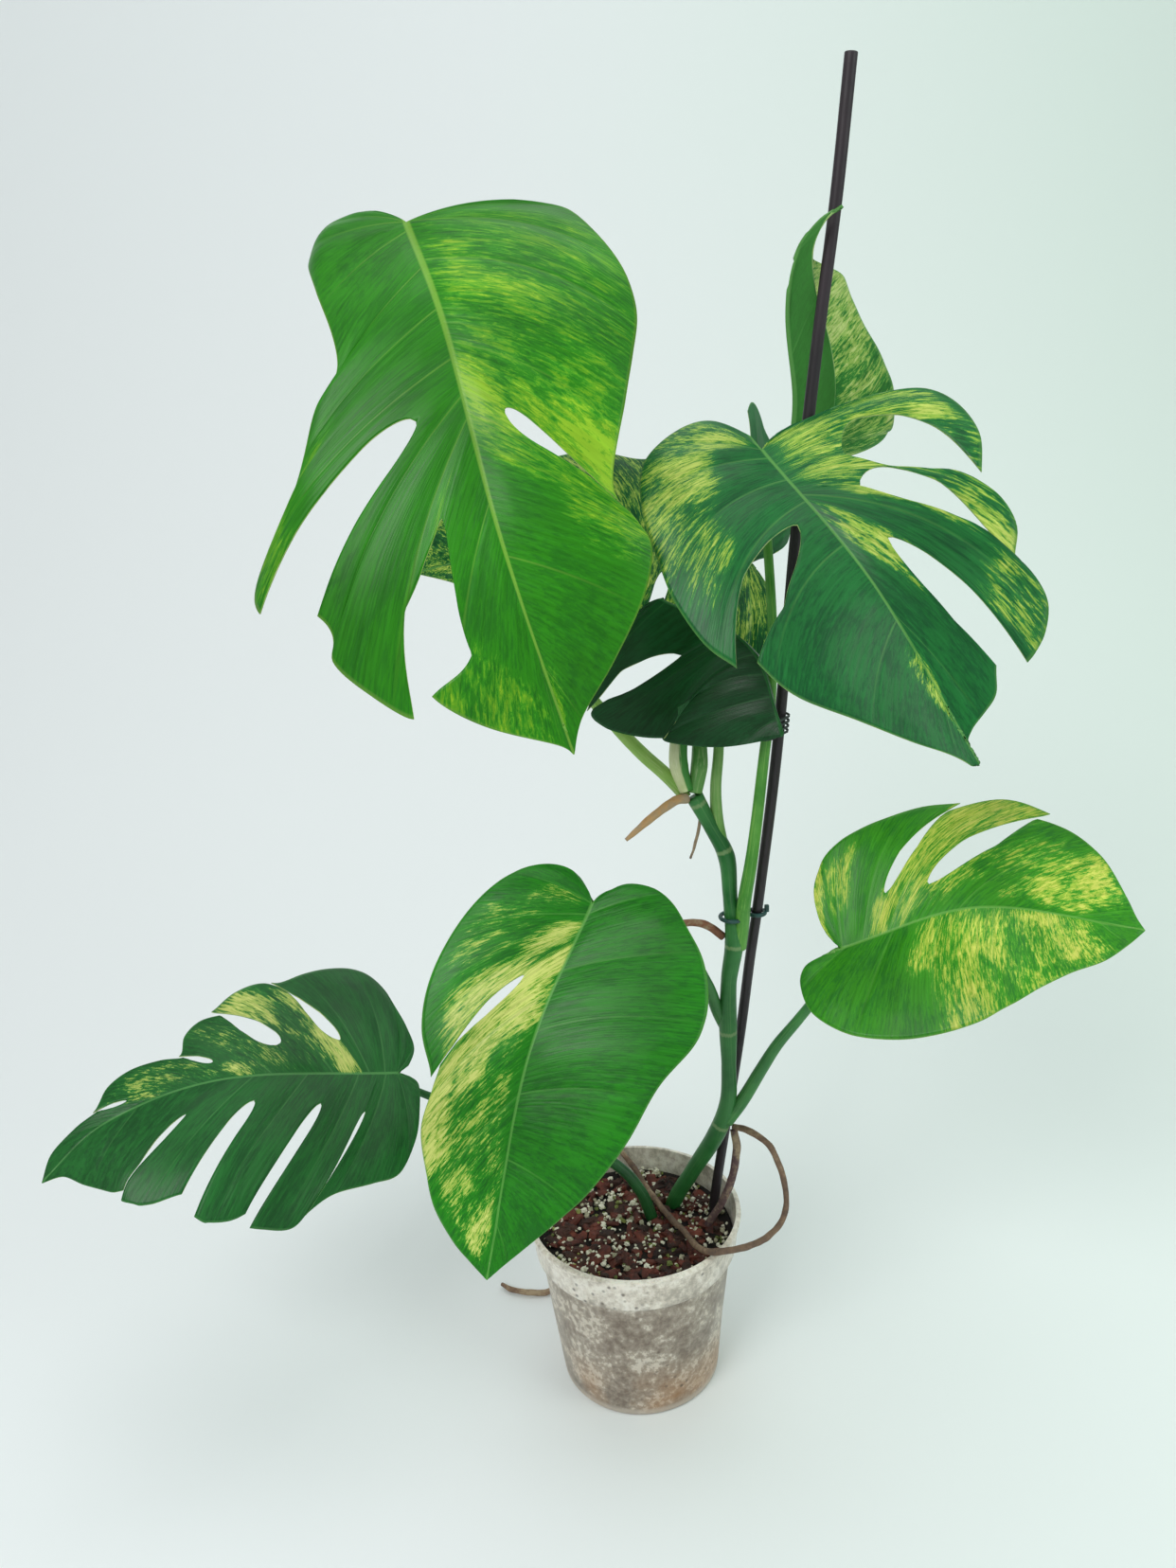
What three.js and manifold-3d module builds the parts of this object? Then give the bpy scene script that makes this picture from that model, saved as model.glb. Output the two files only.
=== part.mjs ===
// A potted variegated monstera: eight leaves on one climbing stem, tied to a dark stake in a clear nursery pot.
// Millimetres, +Z up, +X to the right and +Y away from the viewer. The origin is the centre of the pot's foot.
import * as THREE from "three";
import Module from "manifold-3d";
import { mergeVertices } from "three/addons/utils/BufferGeometryUtils.js";

const wasm = await Module();
wasm.setup();

// Driving dimensions

const GAP = 0.35; // clearance between neighbouring pieces

const POT = {
  height: 127,
  footRadius: 56,
  footChamfer: 1.5,
  padRadius: 18, // the flat disc under the middle
  recessRadius: 47, // the moulded recess runs from the pad to the foot ring
  recess: 1.8,
  floor: 3.6,
  wall: 1.6,
  shoulderHeight: 101, // where the wall steps out to the rim band
  shoulderRadius: 66.5,
  bandRadius: 70.3, // rim band at its lower edge
  rimRadius: 72.6, // rim band under the lip
  lipRadius: 74.2,
  lip: 2.6,
  segments: 36,
  drainHoles: 6,
  drainRadius: 4,
  drainCircle: 33,
};

const SUBSTRATE = {
  top: 111, // height of the potting mix above the floor
  crown: 2.5, // it lies a little higher in the middle
  chips: 36,
  chipLength: [9, 19],
  chipWidth: [5, 9],
  chipThickness: [3.5, 6],
  grains: 46,
  grainRadius: [1.7, 3.1],
  seed: 7,
};

const APPROACH = 7; // the last straight stretch of a petiole under its blade
const BLADE = 0.85; // thickness of every leaf blade
const RIB = 1.5; // how far the midrib stands out below the blade at the petiole
const STATION = 17; // spacing of the veins along a midrib
const INNER_ROWS = 2; // rows from the midrib to the start of the slits
const OUTER_ROWS = 3; // rows from there to the margin
const VEIN_BOW = 0.1; // how far a side vein bows out, as a share of its reach
const CREASE = { at: 34, slope: 0, over: 38 }; // where a drooping lobe starts to bend, out from the midrib
const CORNER = 0.08; // how much a lobe's near corner is rounded off beside a slit

const STAKE = {
  radius: 3.4,
  sides: 12,
  route: [
    [47, 9, 30], [57, 14, 112], [67.5, 18.5, 176], [78.5, 17.5, 248], [85.5, 13, 309], [91.5, 7, 360],
    [102, 0, 457], [112, -6.5, 584], [122, -10.5, 680], [131, -17, 758], [137.5, -20, 826],
  ],
};

// The stem climbs from the mix to its newest joint, thicker at each joint where a petiole starts.
const STEM = {
  sides: 10,
  steps: 34,
  route: [
    [24, 22, 74], [29, 21, 112], [43, 17, 142], [60, 9, 178], [68, 5, 206], [69, 4, 236],
    [69, 4, 265], [70, 4, 297], [74, 4, 326], [72, 4, 358], [70, 4, 386], [60, 5, 408], [51, 5, 427],
  ],
  radii: [5.2, 5.6, 5.4, 6.2, 5.6, 5.0, 6.0, 5.2, 6.2, 4.7, 5.6, 4.6, 5.6],
};

// One leaf for each petiole. A blade is drawn flat: x runs along the midrib from the petiole joint, y out to one side.
// margin: the outline of each half from the notch at the petiole to the tip, as [x, y].
// slits: at = place along that outline, vein = where its vein leaves the midrib, from = how far out the cut starts,
// half = half its width near the inner end and at the margin, droop = how far the lobe before it hangs, in degrees.
// midrib: its line in space. face: which way the upper side looks at the petiole and at the tip.
// left and right: fold at the midrib in degrees and curl in degrees per 100 mm. bow: how far the veins at the slits
// bow out, where it isn't VEIN_BOW.
const LEAVES = {
  a: {
    colour: 0x4f9a1e,
    midrib: [[-98, 20, 765], [-77, -30, 707], [-53, -75, 600], [-22, -90, 487]],
    face: [[-0.05, -0.93, 0.35], [-0.05, -0.93, 0.35]],
    notch: { turn: 40, over: 40 },
    left: {
      fold: 4,
      curl: 16,
      crease: { at: 44, slope: 0.26, over: 24 },
      margin: [
        [-22, 17], [-30, 28], [-28, 44], [-14, 61], [19, 60], [80, 60], [103, 78], [140, 100],
        [187, 146], [220, 108], [233, 107], [252, 93], [270, 77], [273, 65], [291, 37], [309, 7],
        [317, 0],
      ],
      slits: [
        { at: 8.5, vein: 113, from: 0.19, half: [8, 13, 20], droop: [75, 12] },
        { at: 12.6, vein: 137, from: 0.33, half: [7.5, 12, 4], droop: [0, 0] },
      ],
    },
    right: {
      fold: 4,
      curl: 30,
      margin: [
        [15, 73], [23, 87], [41, 96], [61, 103], [77, 105], [94, 103], [115, 94], [140, 83], [187, 64],
        [212, 74], [228, 76], [251, 62], [277, 36], [299, 11], [317, 0],
      ],
      slits: [{ at: 8.3, vein: 116, from: 0.26, half: [10, 6, 0.4], droop: [0, 0], closes: 0.8 }],
    },
  },
  b: {
    colour: 0x1c6a34,
    midrib: [[91, -19, 635], [141, -72, 566], [190, -105, 474]],
    face: [[0.05, -0.7, 0.7], [0.05, -0.7, 0.7]],
    notch: { turn: 30, over: 60 },
    left: {
      fold: 8,
      curl: 24,
      bow: 0.3,
      margin: [
        [-12, 0], [-32, 10], [-37, 27], [-31, 55], [-20, 69], [0, 80], [24, 88], [50, 95], [80, 96],
        [100, 90], [116, 84], [135, 73], [159, 50], [182, 29], [201, 10], [217, 0],
      ],
      slits: [{ at: 9.5, vein: 49, from: 0.14, half: [7.5, 13, 6], droop: [12, 12] }],
    },
    right: {
      fold: 22,
      curl: 15,
      crease: { at: 80, slope: 0, over: 50 },
      bow: 0.35,
      margin: [
        [-2, 9], [-1, 24], [6, 48], [14, 72], [26, 92], [43, 101], [64, 97], [85, 80], [90, 80],
        [100, 83], [114, 80], [126, 70], [131, 72], [144, 75], [156, 73], [167, 64], [173, 55],
        [176, 48], [180, 34], [186, 26], [189, 16], [193, 6], [200, 0], [217, 0],
      ],
      slits: [
        { at: 7.5, vein: 19, from: 0.31, half: [6, 4.8, 2], droop: [55, 55] },
        { at: 11.5, vein: 32, from: 0.27, half: [5, 5, 1], droop: [55, 55] },
        { at: 17.5, vein: 39, from: 0.34, half: [7, 11.5, 8], droop: [55, 55] },
      ],
    },
  },
  c: {
    colour: 0x2c8320,
    midrib: [[-17, -45, 380], [-59, -95, 307], [-89, -140, 192]],
    face: [[-0.1, -0.8, 0.55], [-0.1, -0.8, 0.55]],
    notch: { turn: 30, over: 60 },
    left: {
      fold: 10,
      curl: 16,
      margin: [
        [-6, 5], [-14, 18], [-12, 34], [-1, 50], [18, 61], [44, 68], [74, 70], [98, 65], [118, 53],
        [130, 52], [150, 53], [172, 45], [190, 37], [207, 23], [217, 11], [225, 0],
      ],
      slits: [{ at: 8.2, vein: 26, from: 0.32, half: [4.6, 4.2, 0.4], droop: [0, 0], closes: 0.72 }],
    },
    right: {
      fold: 10,
      curl: 16,
      margin: [
        [-6, 2.4], [-12, 7.5], [-19, 17], [-21, 32], [-16, 46], [-5, 60], [8, 75], [24, 85], [39, 89],
        [57, 88], [88, 78], [128, 68], [161, 52], [180, 38], [200, 21], [214, 9], [225, 0],
      ],
      slits: [],
    },
  },
  d: {
    colour: 0x3f8f28,
    midrib: [[137, -30, 334], [218, -40, 361], [311, -60, 349]],
    face: [[0.0, -0.66, 0.75], [0.0, -0.66, 0.75]],
    notch: { turn: 20, over: 60 },
    left: {
      fold: 12,
      curl: 14,
      margin: [
        [-6, 0.4], [-16, 1.6], [-26, 5], [-31, 16], [-28, 36], [-13, 54], [5, 64], [23, 70], [47, 73],
        [74, 72], [101, 65], [122, 52], [140, 39], [158, 27], [173, 11], [182, 0],
      ],
      slits: [],
    },
    right: {
      fold: 12,
      curl: 14,
      margin: [
        [-4, 6], [-8, 22], [-5, 42], [6, 57], [23, 65], [40, 68], [54, 69], [70, 70], [85, 69],
        [103, 72], [121, 66], [137, 58], [149, 48], [159, 37], [171, 18], [177, 7], [182, 0],
      ],
      slits: [
        { at: 8, vein: 20, from: 0.3, half: [4, 5, 0.4], droop: [0, 0], closes: 0.9 },
        { at: 10.2, vein: 41, from: 0.27, half: [6, 7.5, 0.5], droop: [0, 0], closes: 0.95 },
      ],
    },
  },
  e: {
    colour: 0x246b2c,
    midrib: [[-158, 20, 233], [-266, -5, 251], [-337, -30, 240], [-378, -50, 210]],
    face: [[0.0, -0.42, 0.9], [-0.2, -0.62, 0.75]],
    notch: { turn: 20, over: 60 },
    left: {
      fold: 4,
      curl: 20,
      margin: [
        [-8, 6], [-13, 20], [-9, 38], [-3, 56], [5, 78], [17, 95], [31, 101], [48, 98], [64, 90],
        [80, 79], [92, 81], [106, 71], [117, 57], [127, 50], [135, 39], [139, 25], [152, 27],
        [169, 28], [184, 23], [195, 12], [210, 11], [230, 10], [244, 0],
      ],
      slits: [
        { at: 9.4, vein: 24, from: 0.3, half: [6.5, 5.2, 0.4], droop: [3, 3], closes: 0.86 },
        { at: 12.2, vein: 62, from: 0.36, half: [8, 6.4, 0.6], droop: [3, 3], closes: 0.96 },
        { at: 15.1, vein: 104, from: 0.5, half: [3.5, 2.8, 0.4], droop: [3, 3] },
        { at: 19.1, vein: 156, from: 0.5, half: [4, 3.2, 0.4], droop: [3, 3] },
      ],
    },
    right: {
      fold: 6,
      curl: 22,
      margin: [
        [-7, 3], [-14, 10], [-13, 31], [-9, 53], [2, 74], [18, 79], [41, 84], [57, 94], [68, 104],
        [89, 102], [107, 99], [123, 96], [140, 92], [148, 89], [166, 74], [184, 67], [204, 57],
        [208, 51], [213, 44], [223, 27], [231, 9], [244, 0],
      ],
      slits: [
        { at: 7.2, vein: 12, from: 0.3, half: [2.4, 1.9, 0.4], droop: [6, 6], closes: 0.7 },
        { at: 9.9, vein: 40, from: 0.22, half: [4, 4.5, 5], droop: [8, 8] },
        { at: 13.6, vein: 80, from: 0.22, half: [5, 6.5, 8], droop: [10, 10] },
        { at: 16.5, vein: 110, from: 0.33, half: [3.2, 2.8, 0.4], droop: [6, 6], closes: 0.62 },
      ],
    },
  },
  f: {
    colour: 0x14502a,
    midrib: [[35, 20, 550], [83, -16, 525], [100, -38, 472]],
    face: [[-0.45, -0.85, 0.25], [-0.45, -0.85, 0.25]],
    under: [0.05, 0.7, -0.7], // the petiole comes up between the folded halves
    seatDrop: 1.5,
    notch: { turn: 20, over: 60 },
    left: {
      fold: 8,
      curl: 10,
      margin: [
        [-7, 8], [-12, 23], [-16, 43], [-15, 65], [-10, 80], [-10, 90], [0, 91], [10, 89], [67, 89],
        [112, 58], [118, 36], [121, 14], [122, 0],
      ],
      slits: [{ at: 4.4, vein: 52, from: 0.33, half: [5.5, 5.2, 2], droop: [0, 0] }],
    },
    right: {
      fold: -100,
      curl: 4,
      margin: [
        [1, 3], [4, 9], [8, 16], [14, 24], [22, 30], [34, 31], [48, 25], [64, 16], [82, 8], [104, 4],
        [122, 0],
      ],
      slits: [{ at: 5.6, vein: 36, from: 0.4, half: [2, 3, 2], droop: [0, 0] }],
    },
  },
  g: {
    colour: 0x2a6b2e,
    midrib: [[99, 92, 560], [-5, 97, 585], [-122, 72, 566]],
    face: [[0.1, -0.85, 0.5], [0.1, -0.85, 0.5]],
    notch: { turn: 20, over: 60 },
    left: {
      fold: 6,
      curl: 20,
      margin: [
        [-11, 5], [-26, 20], [-26, 55], [-15, 105], [23, 155], [26, 75], [51, 72], [79, 55], [103, 58],
        [123, 55], [151, 54], [181, 51], [207, 33], [226, 0],
      ],
      slits: [
        { at: 4.5, vein: 8, from: 0.45, half: [3, 8, 20], droop: [8, 8] },
        { at: 9.5, vein: 99, from: 0.4, half: [4, 5, 5], droop: [8, 8] },
      ],
    },
    right: {
      fold: 6,
      curl: 24,
      margin: [
        [-7, 7], [-21, 26], [-24, 54], [-4, 72], [20, 66], [44, 72], [68, 74], [94, 72], [124, 64],
        [156, 48], [186, 30], [207, 12], [226, 0],
      ],
      slits: [
        { at: 3.6, vein: 14, from: 0.3, half: [4, 5, 5], droop: [10, 10] },
        { at: 5.6, vein: 54, from: 0.3, half: [5, 5, 5], droop: [10, 10] },
        { at: 7.6, vein: 90, from: 0.3, half: [5, 4.5, 4], droop: [8, 8] },
      ],
    },
  },
  h: {
    colour: 0x3c8a2c,
    midrib: [
      [116, 30, 630], [117, 22, 662], [109, 2, 707], [111, -14, 734], [121, -25, 749], [136, -30, 756],
    ],
    face: [[0.35, -0.9, 0.1], [0.35, -0.9, 0.1]],
    notch: { turn: 20, over: 60 },
    left: {
      fold: -6,
      curl: 10,
      margin: [
        [-8, 11], [-10, 42], [-4, 77], [20, 82], [32, 74], [48, 62], [67, 53], [90, 42], [104, 24],
        [116, 7], [132, 3], [149, 0],
      ],
      slits: [],
    },
    right: {
      fold: 138,
      curl: 10,
      margin: [
        [-4, 4], [-6, 12], [6, 19], [34, 23], [64, 22], [92, 16], [116, 9], [134, 4], [149, 0],
      ],
      slits: [],
    },
  },
};

// Petioles, each from its joint on the stem (or the mix) to the underside of its leaf.
const PETIOLES = {
  a: {
    colour: 0x7fb04a,
    route: [
      [46, 6, 426], [34, 12, 440], [20, 22, 452], [4, 32, 469], [-18, 42, 498], [-44, 49, 555],
      [-73, 51, 637], [-91, 46, 715], [-97, 36, 750],
    ],
    radii: [3.6, 4.4, 4.4, 4.2, 3.8, 3.3, 2.9, 2.7, 2.7],
  },
  b: {
    colour: 0x3d8a2c,
    route: [
      [77, 5, 322], [79, 1, 340], [80, -4, 358], [84, -7, 385], [88, -9, 417], [92, -11, 455],
      [96, -13, 490], [97, -15, 530], [95, -15, 575], [93, -12, 610],
    ],
    radii: [5.2, 4.8, 4.4, 4.0, 3.6, 3.3, 3.1, 2.9, 2.7, 2.6],
  },
  c: {
    colour: 0x3d7d40,
    route: [[68, 8, 262], [62, 4, 277], [55, -2, 300], [40, -13, 332], [12, -25, 360], [-4, -33, 367]],
    radii: [4.6, 4.2, 3.7, 3.2, 2.8, 2.6],
  },
  d: {
    colour: 0x3d7d40,
    route: [
      [67, 6, 190], [78, 4, 207], [90, 2, 230], [101, -1, 251], [114, -5, 271], [126, -11, 292],
      [133, -16, 308],
    ],
    radii: [5.0, 4.6, 4.2, 3.8, 3.4, 3.1, 2.8],
  },
  e: {
    colour: 0x2c6a38,
    route: [
      [20, 5, 84], [13, 6, 112], [5, 8, 136], [-11, 11, 156], [-43, 16, 175], [-82, 20, 189],
      [-121, 23, 204], [-142, 24, 213],
    ],
    radii: [4.4, 4.3, 4.1, 3.8, 3.5, 3.2, 2.9, 2.7],
  },
  f: {
    colour: 0x5f9a48,
    route: [
      [68, 4, 390], [65, 7, 410], [65, 12, 430], [68, 18, 452], [70, 26, 484], [62, 34, 512], [50, 34, 530],
    ],
    radii: [4.4, 4.0, 3.6, 3.3, 3.0, 2.7, 1.6],
  },
  g: {
    colour: 0x4d8a44,
    route: [
      [51, 6, 429], [55, 12, 445], [57, 24, 460], [62, 46, 482], [78, 74, 512], [92, 93, 541],
    ],
    radii: [4.6, 5.4, 4.6, 3.6, 3.0, 2.7],
  },
  h: {
    colour: 0xd3dba6,
    route: [
      [46, 4, 431], [42, 9, 446], [43, 17, 460], [48, 32, 482], [60, 54, 518], [84, 62, 560],
      [104, 54, 597], [112, 46, 616],
    ],
    radii: [4.4, 6.0, 5.6, 4.0, 3.2, 2.8, 2.6, 2.4],
  },
};

// Roots: the long one leaves the lowest joint, loops out past the rim, crosses the mix and runs down the back of the
// pot to the floor. The others are short.
const ROOTS = {
  long: {
    colour: 0x6f5545,
    route: [
      [72, 8, 183], [80, 1, 185], [88, -7, 184], [95, -12, 178], [101, -18, 162], [103, -23, 145],
      [99, -28, 132], [87, -40, 129], [73, -50, 131], [58, -57, 134], [47, -52, 130], [40, -36, 122],
      [33, -16, 119], [27, -6, 119], [19, 10, 120], [11, 28, 122], [2, 46, 128], [-10, 62, 135],
      [-24, 73, 136], [-36, 78, 122], [-42, 76, 90], [-48, 74, 50], [-56, 71, 14], [-68, 66, 3],
      [-82, 66, 2.6], [-97, 70, 2.6], [-106, 77, 2.6],
    ],
    radii: [2.4, 2.2, 2.2, 2.1, 2.1, 2.0, 2.0, 2.2, 2.2, 2.2, 2.1, 2.1, 2.1, 2.1, 2.1, 2.0, 2.0, 2.0, 2.0,
      2.0, 2.0, 2.0, 2.0, 2.2, 2.3, 2.1, 1.6],
    steps: 64,
    sides: 6,
  },
  stake: {
    colour: 0x5a3c40,
    route: [[72, 7, 182], [73, 1, 170], [69, -4, 152], [62, -6, 134], [52, -5, 116], [44, -4, 98]],
    radii: [2.6, 2.7, 2.7, 2.7, 2.4, 1.8],
    steps: 14,
    sides: 7,
  },
  joint: {
    colour: 0x7a5040,
    route: [[67, 7, 329], [58, 4, 338], [50, 2, 342], [38, -1, 343], [22, -5, 338]],
    radii: [2.6, 2.6, 2.5, 2.3, 1.6],
    steps: 10,
    sides: 7,
  },
  stub: {
    colour: 0xb08a62,
    route: [[46, 3, 427], [38, -1, 427], [26, -6, 421], [14, -10, 413], [6, -12, 407]],
    radii: [3.2, 3.1, 2.7, 2.1, 1.2],
    steps: 10,
    sides: 7,
  },
  thread: {
    colour: 0x6a5a50,
    route: [[51, 5, 421], [54, 8, 413], [53, 7, 404], [50, 5, 394], [47, 4, 386]],
    radii: [1.2, 1.1, 1.0, 0.9, 0.7],
    steps: 10,
    sides: 6,
  },
};

const CLIP = { z: 344, wire: 1.4, stemRadius: 5.9, clearance: 0.5, knob: [3, 2.4, 5], segments: 20, sides: 6 };
const TIE = { z: 474, turns: 4, pitch: 3.2, wire: 0.8, clearance: 1, stepsPerTurn: 12 };

// Helpers

const vec = (p) => new THREE.Vector3(p[0], p[1], p[2]);
const curveThrough = (points) => new THREE.CatmullRomCurve3(points.map(vec), false, "catmullrom", 0.5);
const lerp = THREE.MathUtils.lerp;
const rad = THREE.MathUtils.degToRad;

// Linear interpolation in a list of [key, value] pairs.
function along(pairs, key) {
  if (key <= pairs[0][0]) return pairs[0][1];
  for (let k = 1; k < pairs.length; k++) {
    if (key > pairs[k][0]) continue;
    const share = (key - pairs[k - 1][0]) / (pairs[k][0] - pairs[k - 1][0]);
    return lerp(pairs[k - 1][1], pairs[k][1], share);
  }
  return pairs[pairs.length - 1][1];
}

// A repeatable draw of numbers from 0 to 1.
function seeded(seed) {
  let state = seed;
  return () => {
    state = (state * 1664525 + 1013904223) % 4294967296;
    return state / 4294967296;
  };
}

function toSolid(geometry) {
  const bare = new THREE.BufferGeometry().setAttribute("position", geometry.getAttribute("position").clone());
  if (geometry.index) bare.setIndex(geometry.index.clone());
  const merged = mergeVertices(bare, 1e-3);
  const solid = new wasm.Manifold(
    new wasm.Mesh({
      numProp: 3,
      vertProperties: new Float32Array(merged.attributes.position.array),
      triVerts: new Uint32Array(merged.index.array),
    }),
  );
  return solid;
}

function toGeometry(solid) {
  const mesh = solid.getMesh();
  return new THREE.BufferGeometry()
    .setAttribute("position", new THREE.BufferAttribute(new Float32Array(mesh.vertProperties), 3))
    .setIndex(new THREE.BufferAttribute(new Uint32Array(mesh.triVerts), 1));
}

// The biggest body of a solid: loose scraps left by a cut are dropped.
function biggest(solid) {
  return solid.simplify(0.01).decompose().reduce((a, b) => (b.volume() > a.volume() ? b : a));
}

function paint(name, geometry, colour, roughness) {
  const material = new THREE.MeshStandardMaterial({ color: colour, roughness, metalness: 0 });
  const flat = geometry.clone();
  flat.computeVertexNormals();
  const mesh = new THREE.Mesh(flat, material);
  mesh.name = name;
  return mesh;
}

// A round limb whose radius changes along a curve, closed at both ends.
function limb(route, radii, steps, sides, grow = 0) {
  const curve = curveThrough(route);
  const frames = curve.computeFrenetFrames(steps, false);
  const positions = [];
  const index = [];
  for (let k = 0; k <= steps; k++) {
    const centre = curve.getPointAt(k / steps);
    const t = curve.getUtoTmapping(k / steps) * (radii.length - 1);
    const low = Math.min(Math.floor(t), radii.length - 2);
    const radius = lerp(radii[low], radii[low + 1], t - low) + grow;
    for (let s = 0; s < sides; s++) {
      const angle = (2 * Math.PI * s) / sides;
      const p = centre
        .clone()
        .addScaledVector(frames.normals[k], radius * Math.cos(angle))
        .addScaledVector(frames.binormals[k], radius * Math.sin(angle));
      positions.push(p.x, p.y, p.z);
    }
  }
  for (let k = 0; k < steps; k++) {
    for (let s = 0; s < sides; s++) {
      const a = k * sides + s;
      const b = k * sides + ((s + 1) % sides);
      index.push(a, b, b + sides, a, b + sides, a + sides);
    }
  }
  for (const [ring, sense] of [[0, -1], [steps, 1]]) {
    const centre = curve.getPointAt(ring / steps);
    const tip = positions.length / 3;
    positions.push(centre.x, centre.y, centre.z);
    for (let s = 0; s < sides; s++) {
      const a = ring * sides + s;
      const b = ring * sides + ((s + 1) % sides);
      index.push(...(sense > 0 ? [a, b, tip] : [b, a, tip]));
    }
  }
  return new THREE.BufferGeometry()
    .setAttribute("position", new THREE.Float32BufferAttribute(positions, 3))
    .setIndex(index);
}

// Leaves

// Half of a blade in its flat drawing: where the vein numbered i along the margin stands at share r of its length.
function halfBlade(half, length) {
  const last = half.margin.length - 1;
  const outline = new THREE.SplineCurve(half.margin.map((p) => new THREE.Vector2(p[0], p[1])));
  const firstVein = half.slits.length ? Math.min(half.slits[0].at - 1.2, 4) : 3;
  const origins = [[0, 0], [firstVein, 0], ...half.slits.map((s) => [s.at, s.vein]), [last, 0.94 * length]];
  const slitBow = half.bow ?? VEIN_BOW;
  const bows = [[firstVein, VEIN_BOW], ...half.slits.map((s) => [s.at, slitBow]), [last, VEIN_BOW]];

  function vein(i, r) {
    const edge = outline.getPoint(THREE.MathUtils.clamp(i / last, 0, 1));
    const start = along(origins, i);
    const bow = along(bows, i) * edge.y;
    const chord = new THREE.Vector2(edge.x - start, edge.y);
    const reach = Math.max(chord.length(), 1e-6);
    const control = new THREE.Vector2(
      start + chord.x / 2 - (bow * chord.y) / reach,
      chord.y / 2 + (bow * chord.x) / reach,
    );
    const a = (1 - r) * (1 - r);
    const b = 2 * r * (1 - r);
    return new THREE.Vector2(a * start + b * control.x + r * r * edge.x, b * control.y + r * r * edge.y);
  }

  // Half the width of a slit at share r, as a step in vein numbers.
  function opening(slit, r) {
    if (!slit || r <= slit.from) return 0;
    const u = (r - slit.from) / (1 - slit.from);
    const end = slit.closes || 1;
    const round = Math.sqrt(1 - (1 - Math.min(1, u / 0.25)) ** 2);
    const [inner, middle, mouth] = slit.half;
    const width = round * along([[0, inner], [0.5 * end, middle], [end, mouth]], u);
    const step = 0.05;
    const spacing = vein(slit.at + step, r).distanceTo(vein(slit.at - step, r)) / (2 * step);
    return width / spacing;
  }

  const bounds = [null, ...half.slits, null];
  const edges = [0, ...half.slits.map((s) => s.at), last];

  // Lobe k lies between two slits; t runs across it.
  function point(k, i, r) {
    const t = (i - edges[k]) / (edges[k + 1] - edges[k]);
    const shifted = i + opening(bounds[k], r) * (1 - t) - opening(bounds[k + 1], r) * t;
    const before = bounds[k];
    const beyond = before ? Math.max(0, (r - before.from) / (1 - before.from)) : 0;
    return vein(shifted, r * (1 - CORNER * (1 - t) ** 4 * beyond * beyond));
  }

  // Share of the vein at which the slits start, the same at the notch and at the tip of both halves.
  const starts = [[0, 0.35], ...half.slits.map((s) => [s.at, s.from]), [last, 0.35]];
  return {
    last,
    edges,
    point,
    // How far the blade hangs beyond its crease at number i of lobe k.
    droop: (k, i) => {
      if (!bounds[k + 1]) return 0;
      const [near, far] = bounds[k + 1].droop;
      return lerp(near, far, (i - edges[k]) / (edges[k + 1] - edges[k]));
    },
    start: (i) => along(starts, i),
    numberAt: (x) => along(origins.slice(1).map(([i, s]) => [s, i]), x),
    firstVein,
  };
}

// Carries a point of the flat drawing onto the leaf's curved surface in space.
function bladeSurface(leaf) {
  const curve = curveThrough(leaf.midrib);
  const length = curve.getLength();
  const [faceBase, faceTip] = leaf.face.map(vec);

  return function surface(x, y, side, droop) {
    const share = THREE.MathUtils.clamp(x / length, 0, 1);
    const point = curve.getPointAt(share);
    const along = curve.getTangentAt(share);
    const face = faceBase.clone().lerp(faceTip, share);
    const up = face.addScaledVector(along, -face.dot(along)).normalize();
    const out = along.clone().cross(up).multiplyScalar(side === "left" ? 1 : -1);
    // Behind the petiole joint the blade turns down and back.
    const behind = Math.max(-x, 0);
    const parts = 12;
    for (let k = 0; k < parts; k++) {
      const reach = (behind * (k + 0.5)) / parts;
      const turn = rad(leaf.notch.turn) * Math.min(1, reach / leaf.notch.over);
      point.addScaledVector(along, (-Math.cos(turn) * behind) / parts);
      point.addScaledVector(up, (-Math.sin(turn) * behind) / parts);
    }
    const turn = rad(leaf.notch.turn) * Math.min(1, behind / leaf.notch.over);
    const lift = up.clone().multiplyScalar(Math.cos(turn)).addScaledVector(along, -Math.sin(turn));
    const { fold, curl, crease = CREASE } = leaf[side];
    const bend = crease.at + crease.slope * x;
    for (let k = 0; k < parts; k++) {
      const reach = (y * (k + 0.5)) / parts;
      const hang = THREE.MathUtils.smoothstep(reach, bend, bend + crease.over);
      const angle = rad(fold - (curl * reach) / 100 - droop * hang);
      point.addScaledVector(out, (Math.cos(angle) * y) / parts);
      point.addScaledVector(lift, (Math.sin(angle) * y) / parts);
    }
    return point;
  };
}

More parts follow.
